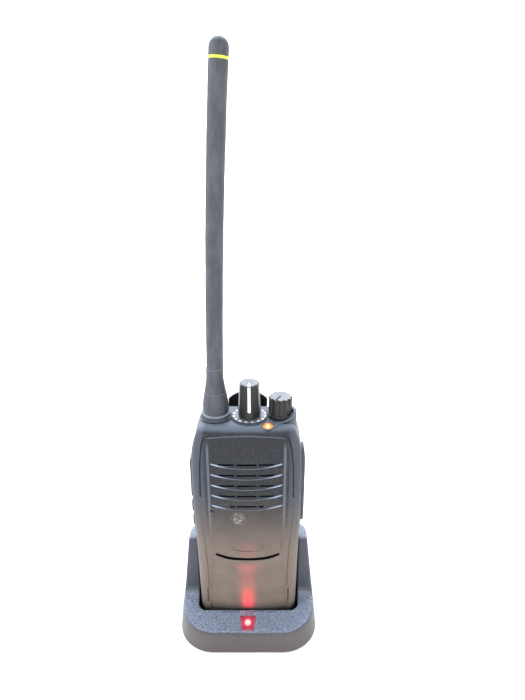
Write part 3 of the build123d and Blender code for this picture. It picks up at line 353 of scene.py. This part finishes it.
def spark_eroded_abs(colours):
    """ABS moulded in a coarse spark-eroded tool: above the rim its grain carries a painted bluish sky sheen and
    painted glints, the front band is smoother and carries painted warm light from the table.
    """
    material, tree, place = begin("ABS, spark-eroded grain")
    coarse = add(tree, "ShaderNodeTexNoise", {}, {"Vector": place, "Scale": per(0.36), "Detail": 2.0}).outputs["Fac"]
    height = add(tree, "ShaderNodeSeparateXYZ", {}, {0: place}).outputs["Z"]
    plate = ramp(tree, height, 0.0108, 0.0122)
    # painted sky sheen on faces above the rim that look up, speckled by the grain
    open_sky = times(tree, upward(tree), plate)
    lit = times(tree, ramp(tree, coarse, 0.28, 0.68, 0.2, 1.0), ramp(tree, open_sky, 0.0, 1.0, 0.16, 0.85))
    colour = tint(tree, lit, opaque(colours.charger), opaque(colours.charger_grain))
    # painted warm light from the table on the front band below the rim
    warm = times(tree, ramp(tree, height, 0.0125, 0.0095), 0.5)
    colour = tint(tree, warm, colour, opaque(linear("#564c45")))
    # painted glints where the grain peaks on faces above the rim that look up
    glint = times(tree, times(tree, ramp(tree, coarse, 0.58, 0.70), open_sky), 0.7)
    colour = tint(tree, glint, colour, opaque(linear("#b4c2d8")))
    colour = tint(tree, times(tree, specks(tree, place, 4.5, 0.12, 0.35), 0.6), colour, opaque(linear("#b9b6b0")))
    depth = ramp(tree, plate, 0.0, 1.0, 0.25, 1.0)
    bump = add(
        tree, "ShaderNodeBump", {},
        {"Height": times(tree, coarse, depth), "Distance": 0.06 * MM, "Strength": 0.8},
    ).outputs["Normal"]
    rough = add(tree, "ShaderNodeMapRange", {}, {"Value": coarse, "To Min": 0.5, "To Max": 0.36}).outputs["Result"]
    return finish(material, {
        "Base Color": colour, "Roughness": rough, "IOR": 1.53, "Specular IOR Level": 0.35, "Normal": bump
    })


def satin_nylon(colours):
    """Nylon moulded in a lightly blasted tool: black knobs whose tops carry a painted blue-grey sky highlight, broken
    up by the grain.
    """
    material, tree, place = begin("moulded nylon, satin")
    fine, normal = grain(tree, place, 0.35, 0.01, 0.5)
    # painted sky highlight on faces that look up
    paler_share = times(tree, upward(tree), ramp(tree, fine, 0.25, 0.7, 0.45, 0.9))
    colour = tint(tree, paler_share, opaque(colours.knob), opaque(linear("#6d737c")))
    colour = tint(tree, times(tree, specks(tree, place, 2.2, 0.07, 0.3), 0.6), colour, opaque(linear("#9a9a9a")))
    return finish(material, {
        "Base Color": colour, "Roughness": 0.38, "IOR": 1.53, "Specular IOR Level": 0.35, "Normal": normal
    })


def silicone_rubber(colours):
    """Silicone rubber, compression moulded: matt, slightly lighter than the shell, with a soft sheen."""
    material, tree, place = begin("silicone rubber, moulded")
    fine, normal = grain(tree, place, 0.25, 0.01, 0.5)
    colour = tint(tree, times(tree, fine, 0.5), opaque(colours.rubber), opaque(linear("#4a4b4e")))
    return finish(
        material, {"Base Color": colour, "Roughness": 0.62, "IOR": 1.41, "Normal": normal, "Sheen Weight": 0.12}
    )


def antenna_elastomer(colours):
    """Elastomer moulded over the antenna's coil: matt blue-black, clouded by years of handling."""
    material, tree, place = begin("antenna elastomer, moulded")
    stretched = add(tree, "ShaderNodeMapping", {}, {"Vector": place, "Scale": (1.0, 1.0, 0.35)}).outputs["Vector"]
    cloud = add(
        tree, "ShaderNodeTexNoise", {}, {"Vector": stretched, "Scale": per(4.0), "Detail": 5.0, "Roughness": 0.65}
    ).outputs["Fac"]
    _, normal = grain(tree, place, 0.4, 0.014, 0.6)
    paler_share = times(tree, ramp(tree, cloud, 0.38, 0.68), 0.5)
    colour = tint(tree, paler_share, opaque(colours.antenna), opaque(linear("#454b56")))
    colour = tint(tree, times(tree, specks(tree, place, 3.5, 0.16, 0.25), 0.5), colour, opaque(linear("#8b9099")))
    # painted sky highlight on faces that look up, such as the collar's top
    colour = tint(tree, times(tree, upward(tree), 0.7), colour, opaque(linear("#8c95a1")))
    rough = add(tree, "ShaderNodeMapRange", {}, {"Value": cloud, "To Min": 0.52, "To Max": 0.68}).outputs["Result"]
    return finish(material, {"Base Color": colour, "Roughness": rough, "IOR": 1.52, "Normal": normal})


def ring_plastic(colours):
    """Coloured plastic ring: bright yellow-green, a little translucent."""
    material, tree, place = begin("coloured ring, moulded")
    fine, normal = grain(tree, place, 0.4, 0.005, 0.4)
    colour = tint(tree, times(tree, fine, 0.4), opaque(colours.band), opaque(linear("#a3ad24")))
    return finish(material, {"Base Color": colour, "Roughness": 0.42, "IOR": 1.5, "Normal": normal})


def filled_white(colours):
    """White paint filled into moulded grooves: slightly uneven, semi-gloss."""
    material, tree, place = begin("white paint, filled line")
    fine, normal = grain(tree, place, 0.5, 0.006, 0.5)
    colour = tint(tree, times(tree, fine, 0.3), opaque(colours.mark), opaque(linear("#cfd2d2")))
    return finish(material, {"Base Color": colour, "Roughness": 0.35, "IOR": 1.5, "Normal": normal})


def metal(name, code, roughness, size=0.5, depth=0.004, stretch=(1.0, 1.0, 1.0)):
    """A bare metal: its colour, roughness and fine tool marks of that size in millimetres, drawn out by stretch."""
    material, tree, place = begin(name)
    drawn = add(tree, "ShaderNodeMapping", {}, {"Vector": place, "Scale": stretch}).outputs["Vector"]
    marks, normal = grain(tree, drawn, size, depth, 0.6)
    colour = tint(tree, times(tree, marks, 0.35), opaque(linear(code)), opaque([c * 0.55 for c in linear(code)]))
    return finish(material, {"Base Color": colour, "Metallic": 1.0, "Roughness": roughness, "Normal": normal})


def plastic(name, code, roughness, size=0.4, depth=0.008, ior=1.5, fleck=0.3):
    """A plain moulded, printed or lacquered part: its colour, flecked by grain of that size in millimetres."""
    material, tree, place = begin(name)
    fine, normal = grain(tree, place, size, depth, 0.6)
    light = [min(1.0, c * 1.9 + 0.004) for c in linear(code)]
    colour = tint(tree, times(tree, fine, fleck), opaque(linear(code)), opaque(light))
    return finish(material, {"Base Color": colour, "Roughness": roughness, "IOR": ior, "Normal": normal})


def woven_cloth():
    """Dust cloth: plain weave of 0.25 mm threads, drawn at 0.4 mm so that it shows behind the slots."""
    material, tree, place = begin("dust cloth, plain weave")
    waves = [
        add(
            tree, "ShaderNodeTexWave", {"bands_direction": axis, "wave_profile": "SIN"},
            {"Vector": place, "Scale": per(0.4) / 20, "Distortion": 0.4},
        ).outputs["Fac"]
        for axis in ("X", "Z")
    ]
    weave = times(tree, waves[0], waves[1])
    bump = add(tree, "ShaderNodeBump", {}, {"Height": weave, "Distance": 0.1 * MM}).outputs["Normal"]
    colour = tint(tree, weave, opaque(linear("#050505")), opaque(linear("#161616")))
    return finish(material, {"Base Color": colour, "Roughness": 0.9, "Normal": bump, "Sheen Weight": 0.2})


def printed_board():
    """Glass-epoxy board under green solder mask: copper tracks stand out faintly in 1.2 mm lanes."""
    material, tree, place = begin("circuit board, solder mask")
    lanes = add(
        tree, "ShaderNodeTexBrick", {"offset": 0.37},
        {"Vector": place, "Scale": per(4.0), "Color1": opaque(linear("#12532a")), "Color2": opaque(linear("#0d4522")),
         "Mortar": opaque(linear("#2f7a3f")), "Mortar Size": 0.04},
    ).outputs["Color"]
    _, normal = grain(tree, place, 0.6, 0.006, 0.5)
    return finish(material, {"Base Color": lanes, "Roughness": 0.3, "IOR": 1.55, "Normal": normal})


def lit_window(name, glow, edge, centre, core, reach, strength):
    """Tinted window over a lit lamp: palest over the lamp, then the glow's colour, and darker at its edges."""
    material, tree, place = begin(name)
    away = add(tree, "ShaderNodeVectorMath", {"operation": "DISTANCE"}, {0: place, 1: centre}).outputs["Value"]
    fine, normal = grain(tree, place, 0.5, 0.01, 0.5)
    hot = ramp(tree, away, core * 1.25, core * 0.7)
    near = times(tree, ramp(tree, away, reach, core), ramp(tree, fine, 0.3, 0.7, 0.8, 1.0))
    colour = tint(tree, near, opaque(edge), opaque(glow))
    colour = tint(tree, hot, colour, opaque(linear("#ffe9cf")))
    power = add(tree, "ShaderNodeMapRange", {}, {"Value": near, "To Min": strength * 0.3, "To Max": strength})
    power = add(
        tree, "ShaderNodeMath", {"operation": "MULTIPLY_ADD"}, {0: hot, 1: strength * 0.3, 2: power.outputs[0]}
    )
    return finish(material, {
        "Base Color": opaque(edge), "Roughness": 0.22, "IOR": 1.49, "Normal": normal,
        "Emission Color": colour, "Emission Strength": power.outputs[0],
    })


def lit_lamp(name, colour, strength):
    """A lit lamp's own epoxy body: bright, and paler where its die shows."""
    material, tree, place = begin(name)
    fine = add(tree, "ShaderNodeTexNoise", {}, {"Vector": place, "Scale": per(1.0)}).outputs["Fac"]
    glow = tint(tree, times(tree, fine, 0.6), opaque(colour), opaque(linear("#fff2e0")))
    return finish(material, {
        "Base Color": opaque(colour), "Roughness": 0.25, "IOR": 1.54, "Emission Color": glow,
        "Emission Strength": strength,
    })


def cast_paint():
    """Die-cast alloy under black powder coat: orange-peel ripple of 1 mm."""
    return plastic("die-cast alloy, black powder coat", "#1b1c1f", 0.5, size=1.0, depth=0.03)


# nodes of the frame by the finish that they take
FINISHES = {
    "shell": ("front_case", "battery_case", "battery_cover", "battery_latch"),
    "charger": ("charger_housing", "charger_base_plate"),
    "nylon": ("channel_knob", "channel_dial", "volume_knob", "clip_base", "clip_lever"),
    "keys": ("ptt_key", "upper_side_key", "lower_side_key"),
    "cover": ("jack_cover",),
    "antenna": ("antenna_sleeve", "antenna_whip"),
    "ring": ("antenna_band",),
    "white": ("channel_knob_pointer",),
    "cast": ("rear_chassis",),
    "dark_steel": ("chassis_screws", "base_plate_screws", "jack_cover_screw", "clip_screws"),
    "bright_steel": ("clip_hinge_pin", "clip_spring"),
    "gold": ("charge_contact_left", "charge_contact_middle", "charge_contact_right", "battery_terminals"),
    "brass": ("antenna_connector", "channel_shaft", "volume_shaft"),
    "board": ("charger_circuit_board", "led_board", "main_circuit_board", "side_switch_board",
              "battery_protection_board"),
    "tin": ("microphone", "shield_cans"),
    "pressed_steel": ("speaker",),
    "paper": ("speaker_cone",),
    "cloth": ("speaker_cloth",),
    "socket": ("dc_inlet_socket", "contact_carrier", "channel_switch", "volume_control", "jack_sockets"),
    "power": ("charger_power_parts",),
    "feet": ("rubber_feet",),
    "cells": ("battery_cells",),
    "status_window": ("status_light_pipe",),
    "status_lamp": ("status_led",),
    "charge_window": ("charge_light_lens",),
    "charge_lamp": ("charge_led",),
}


def make_finishes(colours):
    """Every finish of the object, by its short name."""
    top = (PIPE_MID[0], PIPE_LOW[1] + 0.9 * MM, PIPE_HIGH[2] - 1.0 * MM)
    over_lamp = (LAMP_MID[0], LAMP_MID[1], LENS_HIGH[2] - 0.9 * MM)
    return {
        "shell": moulded_polycarbonate(colours),
        "edge": highlit_polycarbonate(colours),
        "charger": spark_eroded_abs(colours),
        "nylon": satin_nylon(colours),
        "keys": silicone_rubber(colours),
        "cover": plastic("jack cover, moulded elastomer", "#303238", 0.58),
        "antenna": antenna_elastomer(colours),
        "ring": ring_plastic(colours),
        "white": filled_white(colours),
        "cast": cast_paint(),
        "dark_steel": metal("screw steel, blackened", "#3a3b3d", 0.38),
        "bright_steel": metal("spring steel, drawn", "#b9bbbe", 0.28, size=0.3),
        "gold": metal("contact bronze, gold plated", "#e3c06a", 0.25),
        "brass": metal("brass, turned and nickel plated", "#cdbf9a", 0.3, size=0.25, stretch=(1.0, 1.0, 6.0)),
        "board": printed_board(),
        "tin": metal("tinplate, pressed", "#c7c9cb", 0.32, size=1.5),
        "pressed_steel": plastic("speaker basket, pressed and painted", "#33343a", 0.45),
        "paper": plastic("speaker cone, pressed paper", "#2a2724", 0.85, size=0.8, depth=0.05),
        "cloth": woven_cloth(),
        "socket": plastic("nylon socket, moulded", "#18191b", 0.5),
        "power": plastic("wound coil and capacitor, lacquered", "#3b3230", 0.4, size=0.6, depth=0.05),
        "feet": plastic("foot rubber, die cut", "#1d1d1e", 0.8, size=0.3, depth=0.02),
        "cells": plastic("cell sleeve, shrunk film", "#1f4a8c", 0.25, size=3.0, depth=0.01),
        "status_window": lit_window(
            "status window, amber polycarbonate", colours.amber, linear("#d8641e"), top, 1.0 * MM, 2.8 * MM, 1.0
        ),
        "status_lamp": lit_lamp("status lamp, epoxy", colours.amber, 4.0),
        "charge_window": lit_window(
            "charge window, red acrylic", colours.red, linear("#7e2638"), over_lamp, 1.5 * MM, 4.6 * MM, 0.8
        ),
        "charge_lamp": lit_lamp("charge lamp, epoxy", colours.red, 4.0),
    }


MADE = {}  # the finishes, once they are made


def finish_nodes(names):
    """Gives the nodes of these finishes their material."""
    for key in names:
        for name in FINISHES[key]:
            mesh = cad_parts[name].data
            mesh.materials.clear()
            mesh.materials.append(MADE[key])


# ---------------------------------------------------------------- new pieces
LIP_SIDES = 14  # sides of the thin beads on the front


def grille_lips(sizes, material):
    """Beads under the grille slots. Bead i runs along z = top - drop (1 - (x/half)^2), y = face + x^2/300 in mm. Its
    radius is the lip's times the fourth root of 1 - (x/half)^4, which closes it at both ends, and times
    0.55 + 0.45 (x/half)^2, which thins its middle."""
    top_slot, proud, below = 99.9 * MM, 0.12 * MM, 0.25 * MM
    x = sizes.lip_half * np.sin(np.linspace(-math.pi / 2, math.pi / 2, 81))
    share = x / sizes.lip_half
    patches = []
    for i in range(5):
        top = top_slot - i * sizes.slot_pitch - below
        line = np.stack([x, CASE_LOW[1] + proud + x**2 / CROWN, top - sizes.lip_drop * (1 - share**2)], axis=1)
        radius = sizes.lip_radius * np.maximum(1 - share**4, 0) ** 0.25 * (0.55 + 0.45 * share**2)
        patches.append((tube(line, radius, LIP_SIDES), True))
    return build_piece("grille_lips", patches, material, "radio")


def chin_bead(sizes, material):
    """Rounded lower edge of the step across the front, below the panel: a bead along z = step, y = face + x^2/300 in
    mm, whose radius is the bead's times the fourth root of 1 - (x/half)^4."""
    half, height, behind = 9.6 * MM, 41.5 * MM, 0.92 * MM
    x = half * np.sin(np.linspace(-math.pi / 2, math.pi / 2, 61))
    line = np.stack([x, CASE_LOW[1] + behind + x**2 / CROWN, np.full_like(x, height)], axis=1)
    radius = sizes.chin_radius * np.maximum(1 - (x / half) ** 4, 0) ** 0.25
    return build_piece("chin_bead", [(tube(line, radius, LIP_SIDES), True)], material, "radio")


def dial_marks(sizes, material):
    """Position marks on the dial plate: low domes, height = rise (1 - r^2), on a ring round the knob's axis."""
    rise, sink = 0.09 * MM, 0.12 * MM
    turn = np.linspace(0, 2 * math.pi, 12, endpoint=False)
    share = np.array([0.0, 0.55, 0.9, 1.0, 1.0, 0.0])
    height = np.array([rise, rise * 0.8, rise * 0.35, 0.0, -sink, -sink])
    patches = []
    for i in range(sizes.mark_count):
        angle = 2 * math.pi * (i + 0.5) / sizes.mark_count
        middle = (DIAL_MID[0] + sizes.mark_ring * math.sin(angle), DIAL_MID[1] - sizes.mark_ring * math.cos(angle))
        radius = sizes.mark_radius * share[:, None]
        flat = np.broadcast_to(DIAL_HIGH[2] + height[:, None], (len(share), len(turn)))
        grid = np.stack([middle[0] + radius * np.cos(turn), middle[1] + radius * np.sin(turn), flat], axis=-1)
        patches.append((grid, True))
    return build_piece("dial_marks", patches, material, "radio")


def antenna_sleeve_skin(material):
    """The antenna's moulded base as one turned form. From the collar up, its radius is a cubic in height that
    swells at the body and draws in to the neck, and a parting seam is pressed 0.18 mm deep halfway up."""
    collar = (SLEEVE_HIGH[0] - SLEEVE_LOW[0]) / 2
    low, high = SLEEVE_LOW[2], SLEEVE_HIGH[2]
    body, neck = collar - 0.55 * MM, 3.95 * MM
    foot = low + 3.9 * MM
    t = np.linspace(0, 1, 140)
    rise = foot + (high - foot) * t
    knots = [0.0, 0.35, 0.66, 1.0]
    radius = np.polyval(np.polyfit(knots, [body, body - 0.62 * MM, body - 1.75 * MM, neck], 3), t)
    seam = np.exp(-(((rise - (low + 13.4 * MM)) / (0.28 * MM)) ** 2))
    radius = radius - 0.18 * MM * seam
    start = np.array([
        (0, 0), (collar - 0.2 * MM, 0), (collar, 0.25 * MM), (collar, 1.15 * MM), (collar - 0.18 * MM, 1.35 * MM),
        (collar, 1.55 * MM), (collar, 2.5 * MM), (collar - 0.25 * MM, 2.85 * MM), (collar - 0.75 * MM, 3.0 * MM),
        (body - 0.42 * MM, 3.2 * MM), (body - 0.42 * MM, 3.55 * MM),
    ])
    start[:, 1] += low
    side = np.stack([radius, rise], axis=1)
    end = [(neck - 0.12 * MM, high - 0.02 * MM), (0.0, high)]
    centre = (SLEEVE_MID[0], SLEEVE_MID[1])
    profile = np.vstack([start, side[:-1], [[neck, high - 0.1 * MM]], end])
    made = build_piece("antenna_sleeve_skin", [(turned(profile, centre, 72), True)], material, "radio",
                       crease=50)
    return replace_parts(made, "antenna_sleeve")


def whip_middle():
    """Points of the whip's middle line: a circle through its foot, middle and tip, which leans to the right."""
    foot = np.array([SLEEVE_MID[0], SLEEVE_LOW[2] + 8.5 * MM])
    radius = (WHIP_HIGH[1] - WHIP_LOW[1]) / 2
    tip = np.array([WHIP_HIGH[0] - radius, WHIP_HIGH[2] - radius])
    middle = foot + np.array([1.75, 70.0]) * MM
    chord, half = tip - foot, middle - foot
    matrix = 2 * np.stack([half, chord])
    centre = foot + np.linalg.solve(matrix, [half @ half, chord @ chord])
    angles = [math.atan2(*(p - centre)[::-1]) % (2 * math.pi) for p in (foot, tip)]
    size = np.linalg.norm(foot - centre)
    return centre, size, angles, radius


def antenna_whip_skin(material):
    """The whip as a tube round its arc with a domed tip. Its radius wavers by 0.04 mm, as rubber over a wound coil
    does, and drops 0.34 mm under the coloured ring."""
    centre, size, (first, last), radius = whip_middle()
    band, step = (0.9720, 0.9800), 1e-4
    share = np.unique(np.concatenate([
        np.linspace(0.02, 1, 150), [band[0] - step, band[0], band[1], band[1] + step]
    ]))
    angle = first + (last - first) * share
    line = np.stack([centre[0] + size * np.cos(angle), np.full_like(angle, WHIP_MID[1]),
                     centre[1] + size * np.sin(angle)], axis=1)
    waver = 0.02 * MM * (np.sin(share * 41) + np.sin(share * 97 + 1.0)) * np.clip((0.96 - share) * 25, 0, 1)
    width = radius - 0.05 * MM + waver
    width[(share >= band[0]) & (share <= band[1])] = radius - 0.34 * MM
    width[share > band[1]] = radius
    rise = np.linspace(0, math.pi / 2, 16)[1:]
    ahead = line[-1] - line[-2]
    ahead /= np.linalg.norm(ahead)
    dome = line[-1] + ahead * (radius * np.sin(rise))[:, None]
    line, width = np.vstack([line, dome]), np.concatenate([width, radius * np.cos(rise)])
    grid = tube(line, width, 40)
    grid = np.concatenate([np.broadcast_to(line[0], grid[:1].shape), grid])
    made = build_piece("antenna_whip_skin", [(grid, True)], material, "radio", crease=50)
    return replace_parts(made, "antenna_whip")


def clip_spring_coil(sizes, material):
    """The clip's torsion spring: a helix round its pin, x = x0 + pitch t, closed to a point at both ends."""
    start = SPRING_LOW[0] + sizes.spring_wire
    end = SPRING_HIGH[0] - sizes.spring_wire
    turns = sizes.spring_turns
    t = np.linspace(0, turns, turns * 36 + 1)
    angle = 2 * math.pi * t
    x = start + (end - start) * t / turns
    coil = np.stack([x, SPRING_MID[1] + sizes.spring_radius * np.cos(angle),
                     SPRING_MID[2] + sizes.spring_radius * np.sin(angle)], axis=1)
    along = np.gradient(coil, axis=0)
    along /= np.linalg.norm(along, axis=1, keepdims=True)
    out = coil - np.stack([x, np.full_like(x, SPRING_MID[1]), np.full_like(x, SPRING_MID[2])], axis=1)
    out /= np.linalg.norm(out, axis=1, keepdims=True)
    across = np.cross(along, out)
    turn = np.linspace(0, 2 * math.pi, 12, endpoint=False)
    ring = np.cos(turn)[None, :, None] * out[:, None, :] + np.sin(turn)[None, :, None] * across[:, None, :]
    grid = coil[:, None, :] + sizes.spring_wire * ring
    ends = [np.broadcast_to(coil[i], grid[:1].shape) for i in (0, -1)]
    made = build_piece("clip_spring_coil", [(np.concatenate([ends[0], grid, ends[1]]), True)], material, "radio")
    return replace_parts(made, "clip_spring")


# ---------------------------------------------------------------- studio
def pale_floor(studio):
    """The floor: a level disc that curves up far away, z = rise s^2 (3 - 2 s), with s growing past its level part."""
    level, reach, rise, sides = 1.6, 3.2, 3.4, 96
    radius = np.concatenate([[0.0], np.geomspace(0.05, level, 20), np.linspace(level, reach, 24)[1:]])
    share = np.clip((radius - level) / (reach - level), 0, 1)
    profile = np.stack([radius, rise * share**2 * (3 - 2 * share)], axis=1)
    material, tree, place = begin("floor, matt pale board")
    noise = add(tree, "ShaderNodeTexNoise", {}, {"Vector": place, "Scale": per(2.0)}).outputs["Fac"]
    colour = tint(tree, times(tree, noise, 0.06), opaque(studio.floor), opaque(linear("#e6e4e0")))
    away = add(tree, "ShaderNodeVectorMath", {"operation": "LENGTH"}, {0: place}).outputs["Value"]
    lit = ramp(tree, away, 0.5, 2.0, 0.2, 0.9)  # the backdrop is lit evenly, so it fades to white
    finish(material, {
        "Base Color": colour, "Roughness": 0.9, "Emission Color": (1.0, 1.0, 1.0, 1.0), "Emission Strength": lit
    })
    mesh = bpy.data.meshes.new("floor")
    grid = turned(profile, (0.0, 0.0), sides)
    index = np.arange(grid.shape[0] * sides).reshape(-1, sides)
    index = np.hstack([index, index[:, :1]])
    quads = np.stack([index[:-1, :-1], index[1:, :-1], index[1:, 1:], index[:-1, 1:]], axis=-1).reshape(-1, 4)
    mesh.from_pydata(grid.reshape(-1, 3).tolist(), [], quads.tolist())
    mesh.polygons.foreach_set("use_smooth", np.ones(len(mesh.polygons), bool))
    mesh.materials.append(material)
    floor = bpy.data.objects.new("floor", mesh)
    bpy.context.scene.collection.objects.link(floor)


def soft_light(name, place, aim, size, power, colour, spread=180.0):
    """An area light at a place, aimed at a point, with its width and height in metres and its power in watts."""
    lamp = bpy.data.lights.new(name, "AREA")
    lamp.shape = "RECTANGLE"
    lamp.size, lamp.size_y = size
    lamp.energy = power
    lamp.color = linear(colour)
    lamp.spread = math.radians(spread)
    made = bpy.data.objects.new(name, lamp)
    direction = np.array(aim) - np.array(place)
    made.rotation_euler = Vector(direction).to_track_quat("-Z", "Y").to_euler()
    made.location = place
    bpy.context.scene.collection.objects.link(made)
    return made


def surroundings(strength):
    """Even white surroundings."""
    world = bpy.data.worlds.new("white surroundings")
    world.use_nodes = True
    world.node_tree.nodes.clear()
    back = add(world.node_tree, "ShaderNodeBackground", {}, {"Color": (1.0, 1.0, 1.0, 1.0), "Strength": strength})
    add(world.node_tree, "ShaderNodeOutputWorld", {}, {"Surface": back.outputs["Background"]})
    bpy.context.scene.world = world


def viewing_camera():
    """Camera in front of the object and above it, looking 20.5 degrees down."""
    lens = bpy.data.cameras.new("viewing camera")
    lens.lens, lens.sensor_width, lens.clip_start = 25.97, 36.0, 0.01
    made = bpy.data.objects.new("viewing camera", lens)
    made.location = (0.0072, -0.209, 0.226)
    made.rotation_euler = (math.radians(69.5), 0.0, 0.0)
    bpy.context.scene.collection.objects.link(made)
    bpy.context.scene.camera = made


# ---------------------------------------------------------------- operators
def settings():
    """The scene's sizes and studio settings, and the finishes, made once."""
    scene = bpy.context.scene
    if not MADE:
        MADE.update(make_finishes(scene.radio_colours))
    return scene.radio_sizes, scene.radio_studio, MADE


class RadioShell(bpy.types.Operator):
    """Finish the radio's case, battery, chassis, keys and covers"""

    bl_idname = "radio.shell"
    bl_label = "Radio shell"

    def execute(self, context):
        settings()
        finish_nodes(("shell", "keys", "cover", "cast", "dark_steel"))
        return {"FINISHED"}


class RadioGrille(bpy.types.Operator):
    """Build the beads under the grille slots"""

    bl_idname = "radio.grille"
    bl_label = "Grille"

    def execute(self, context):
        sizes, _, made = settings()
        finish_nodes(("cloth", "paper", "pressed_steel"))
        grille_lips(sizes, made["edge"])
        chin_bead(sizes, made["shell"])
        return {"FINISHED"}


class RadioControls(bpy.types.Operator):
    """Finish the knobs and build the dial's position marks"""

    bl_idname = "radio.controls"
    bl_label = "Knobs and dial"

    def execute(self, context):
        sizes, _, made = settings()
        finish_nodes(("nylon", "white", "brass"))
        dial_marks(sizes, made["white"])
        return {"FINISHED"}


class RadioAntenna(bpy.types.Operator):
    """Build the antenna's moulded base and whip"""

    bl_idname = "radio.antenna"
    bl_label = "Antenna"

    def execute(self, context):
        _, _, made = settings()
        finish_nodes(("antenna", "ring"))
        antenna_sleeve_skin(made["antenna"])
        antenna_whip_skin(made["antenna"])
        return {"FINISHED"}


class RadioClip(bpy.types.Operator):
    """Finish the belt clip and wind its spring"""

    bl_idname = "radio.clip"
    bl_label = "Belt clip"

    def execute(self, context):
        sizes, _, made = settings()
        finish_nodes(("bright_steel",))
        clip_spring_coil(sizes, made["bright_steel"])
        return {"FINISHED"}


class RadioInside(bpy.types.Operator):
    """Finish the boards, sockets, cells and screening inside"""

    bl_idname = "radio.inside"
    bl_label = "Inside"

    def execute(self, context):
        settings()
        finish_nodes(("board", "tin", "socket", "power", "cells", "gold"))
        return {"FINISHED"}


class RadioLamps(bpy.types.Operator):
    """Light the status window and the charge window"""

    bl_idname = "radio.lamps"
    bl_label = "Lamps"

    def execute(self, context):
        settings()
        finish_nodes(("status_window", "status_lamp", "charge_window", "charge_lamp"))
        return {"FINISHED"}


class RadioCharger(bpy.types.Operator):
    """Finish the desk charger and its feet"""

    bl_idname = "radio.charger"
    bl_label = "Charger"

    def execute(self, context):
        settings()
        finish_nodes(("charger", "feet"))
        return {"FINISHED"}


class RadioStage(bpy.types.Operator):
    """Lay the floor and set the lights, the surroundings and the camera"""

    bl_idname = "radio.stage"
    bl_label = "Stage"

    def execute(self, context):
        _, studio, _ = settings()
        pale_floor(studio)
        surroundings(studio.sky)
        target = (0.0, 0.0, 0.08)
        soft_light("sky light", (0.0, 0.85, 0.95), target, (1.3, 0.8), studio.key, "#eaf1ff")
        soft_light("left light", (-0.8, -0.2, 0.55), target, (0.5, 0.6), studio.key * 0.26, "#eaf0ff")
        soft_light("front light", (0.35, -0.9, 0.12), target, (0.9, 0.3), studio.key * 0.11, "#ffe6d2")
        # red beam on the radio's front: its height, how tall and wide it is in millimetres, and its share of the power
        x, face, stand_off, spread = LENS_MID[0], CASE_LOW[1] + 0.7 * MM, 5 * MM, 62.0
        washes = (
            ("upper wash", 29.5, 22.0, 7.0, 0.75, "#ff1e34"), ("middle wash", 22.5, 9.0, 5.5, 0.6, "#ff1840"),
            ("lower wash", 17.0, 4.0, 5.0, 0.55, "#ff1258"),
            ("ledge wash", 41.2, 0.8, 10.0, 0.16, "#ff2a3c"), ("tab wash", 51.0, 10.0, 8.0, 0.16, "#ff2a3c"),
        )
        for name, height, tall, wide, share, code in washes:
            place, size = (x, face - stand_off, height * MM), (wide * MM, tall * MM)
            wash = soft_light(name, place, (x, face, height * MM), size, studio.glow * share, code, spread)
            wash.visible_camera = False
        viewing_camera()
        bpy.context.scene.view_settings.view_transform = "Standard"
        return {"FINISHED"}


PIECES = (
    RadioShell, RadioGrille, RadioControls, RadioAntenna, RadioClip, RadioInside, RadioLamps, RadioCharger, RadioStage
)
GROUPS = {"radio_sizes": RadioSizes, "radio_colours": RadioColours, "radio_studio": RadioStudio}


class RadioPanel(bpy.types.Panel):
    """Sidebar panel with the radio's pieces and settings"""

    bl_idname = "VIEW3D_PT_radio"
    bl_label = "Radio"
    bl_space_type = "VIEW_3D"
    bl_region_type = "UI"
    bl_category = "Radio"

    def draw(self, context):
        for piece in PIECES:
            self.layout.operator(piece.bl_idname)
        for name, group in GROUPS.items():
            box = self.layout.box()
            for key in group.__annotations__:
                box.prop(getattr(context.scene, name), key)


def register():
    """Registers the settings, the operators and the panel."""
    for group in (*GROUPS.values(), *PIECES, RadioPanel):
        bpy.utils.register_class(group)
    for name, group in GROUPS.items():
        setattr(bpy.types.Scene, name, bpy.props.PointerProperty(type=group))


def unregister():
    """Takes them away again."""
    for name in GROUPS:
        delattr(bpy.types.Scene, name)
    for group in (RadioPanel, *reversed(PIECES), *GROUPS.values()):
        bpy.utils.unregister_class(group)


def main():
    """Builds everything in order."""
    register()
    for piece in PIECES:
        group, name = piece.bl_idname.split(".")
        getattr(getattr(bpy.ops, group), name)()
    bpy.context.view_layer.update()


if __name__ == "__main__":
    main()
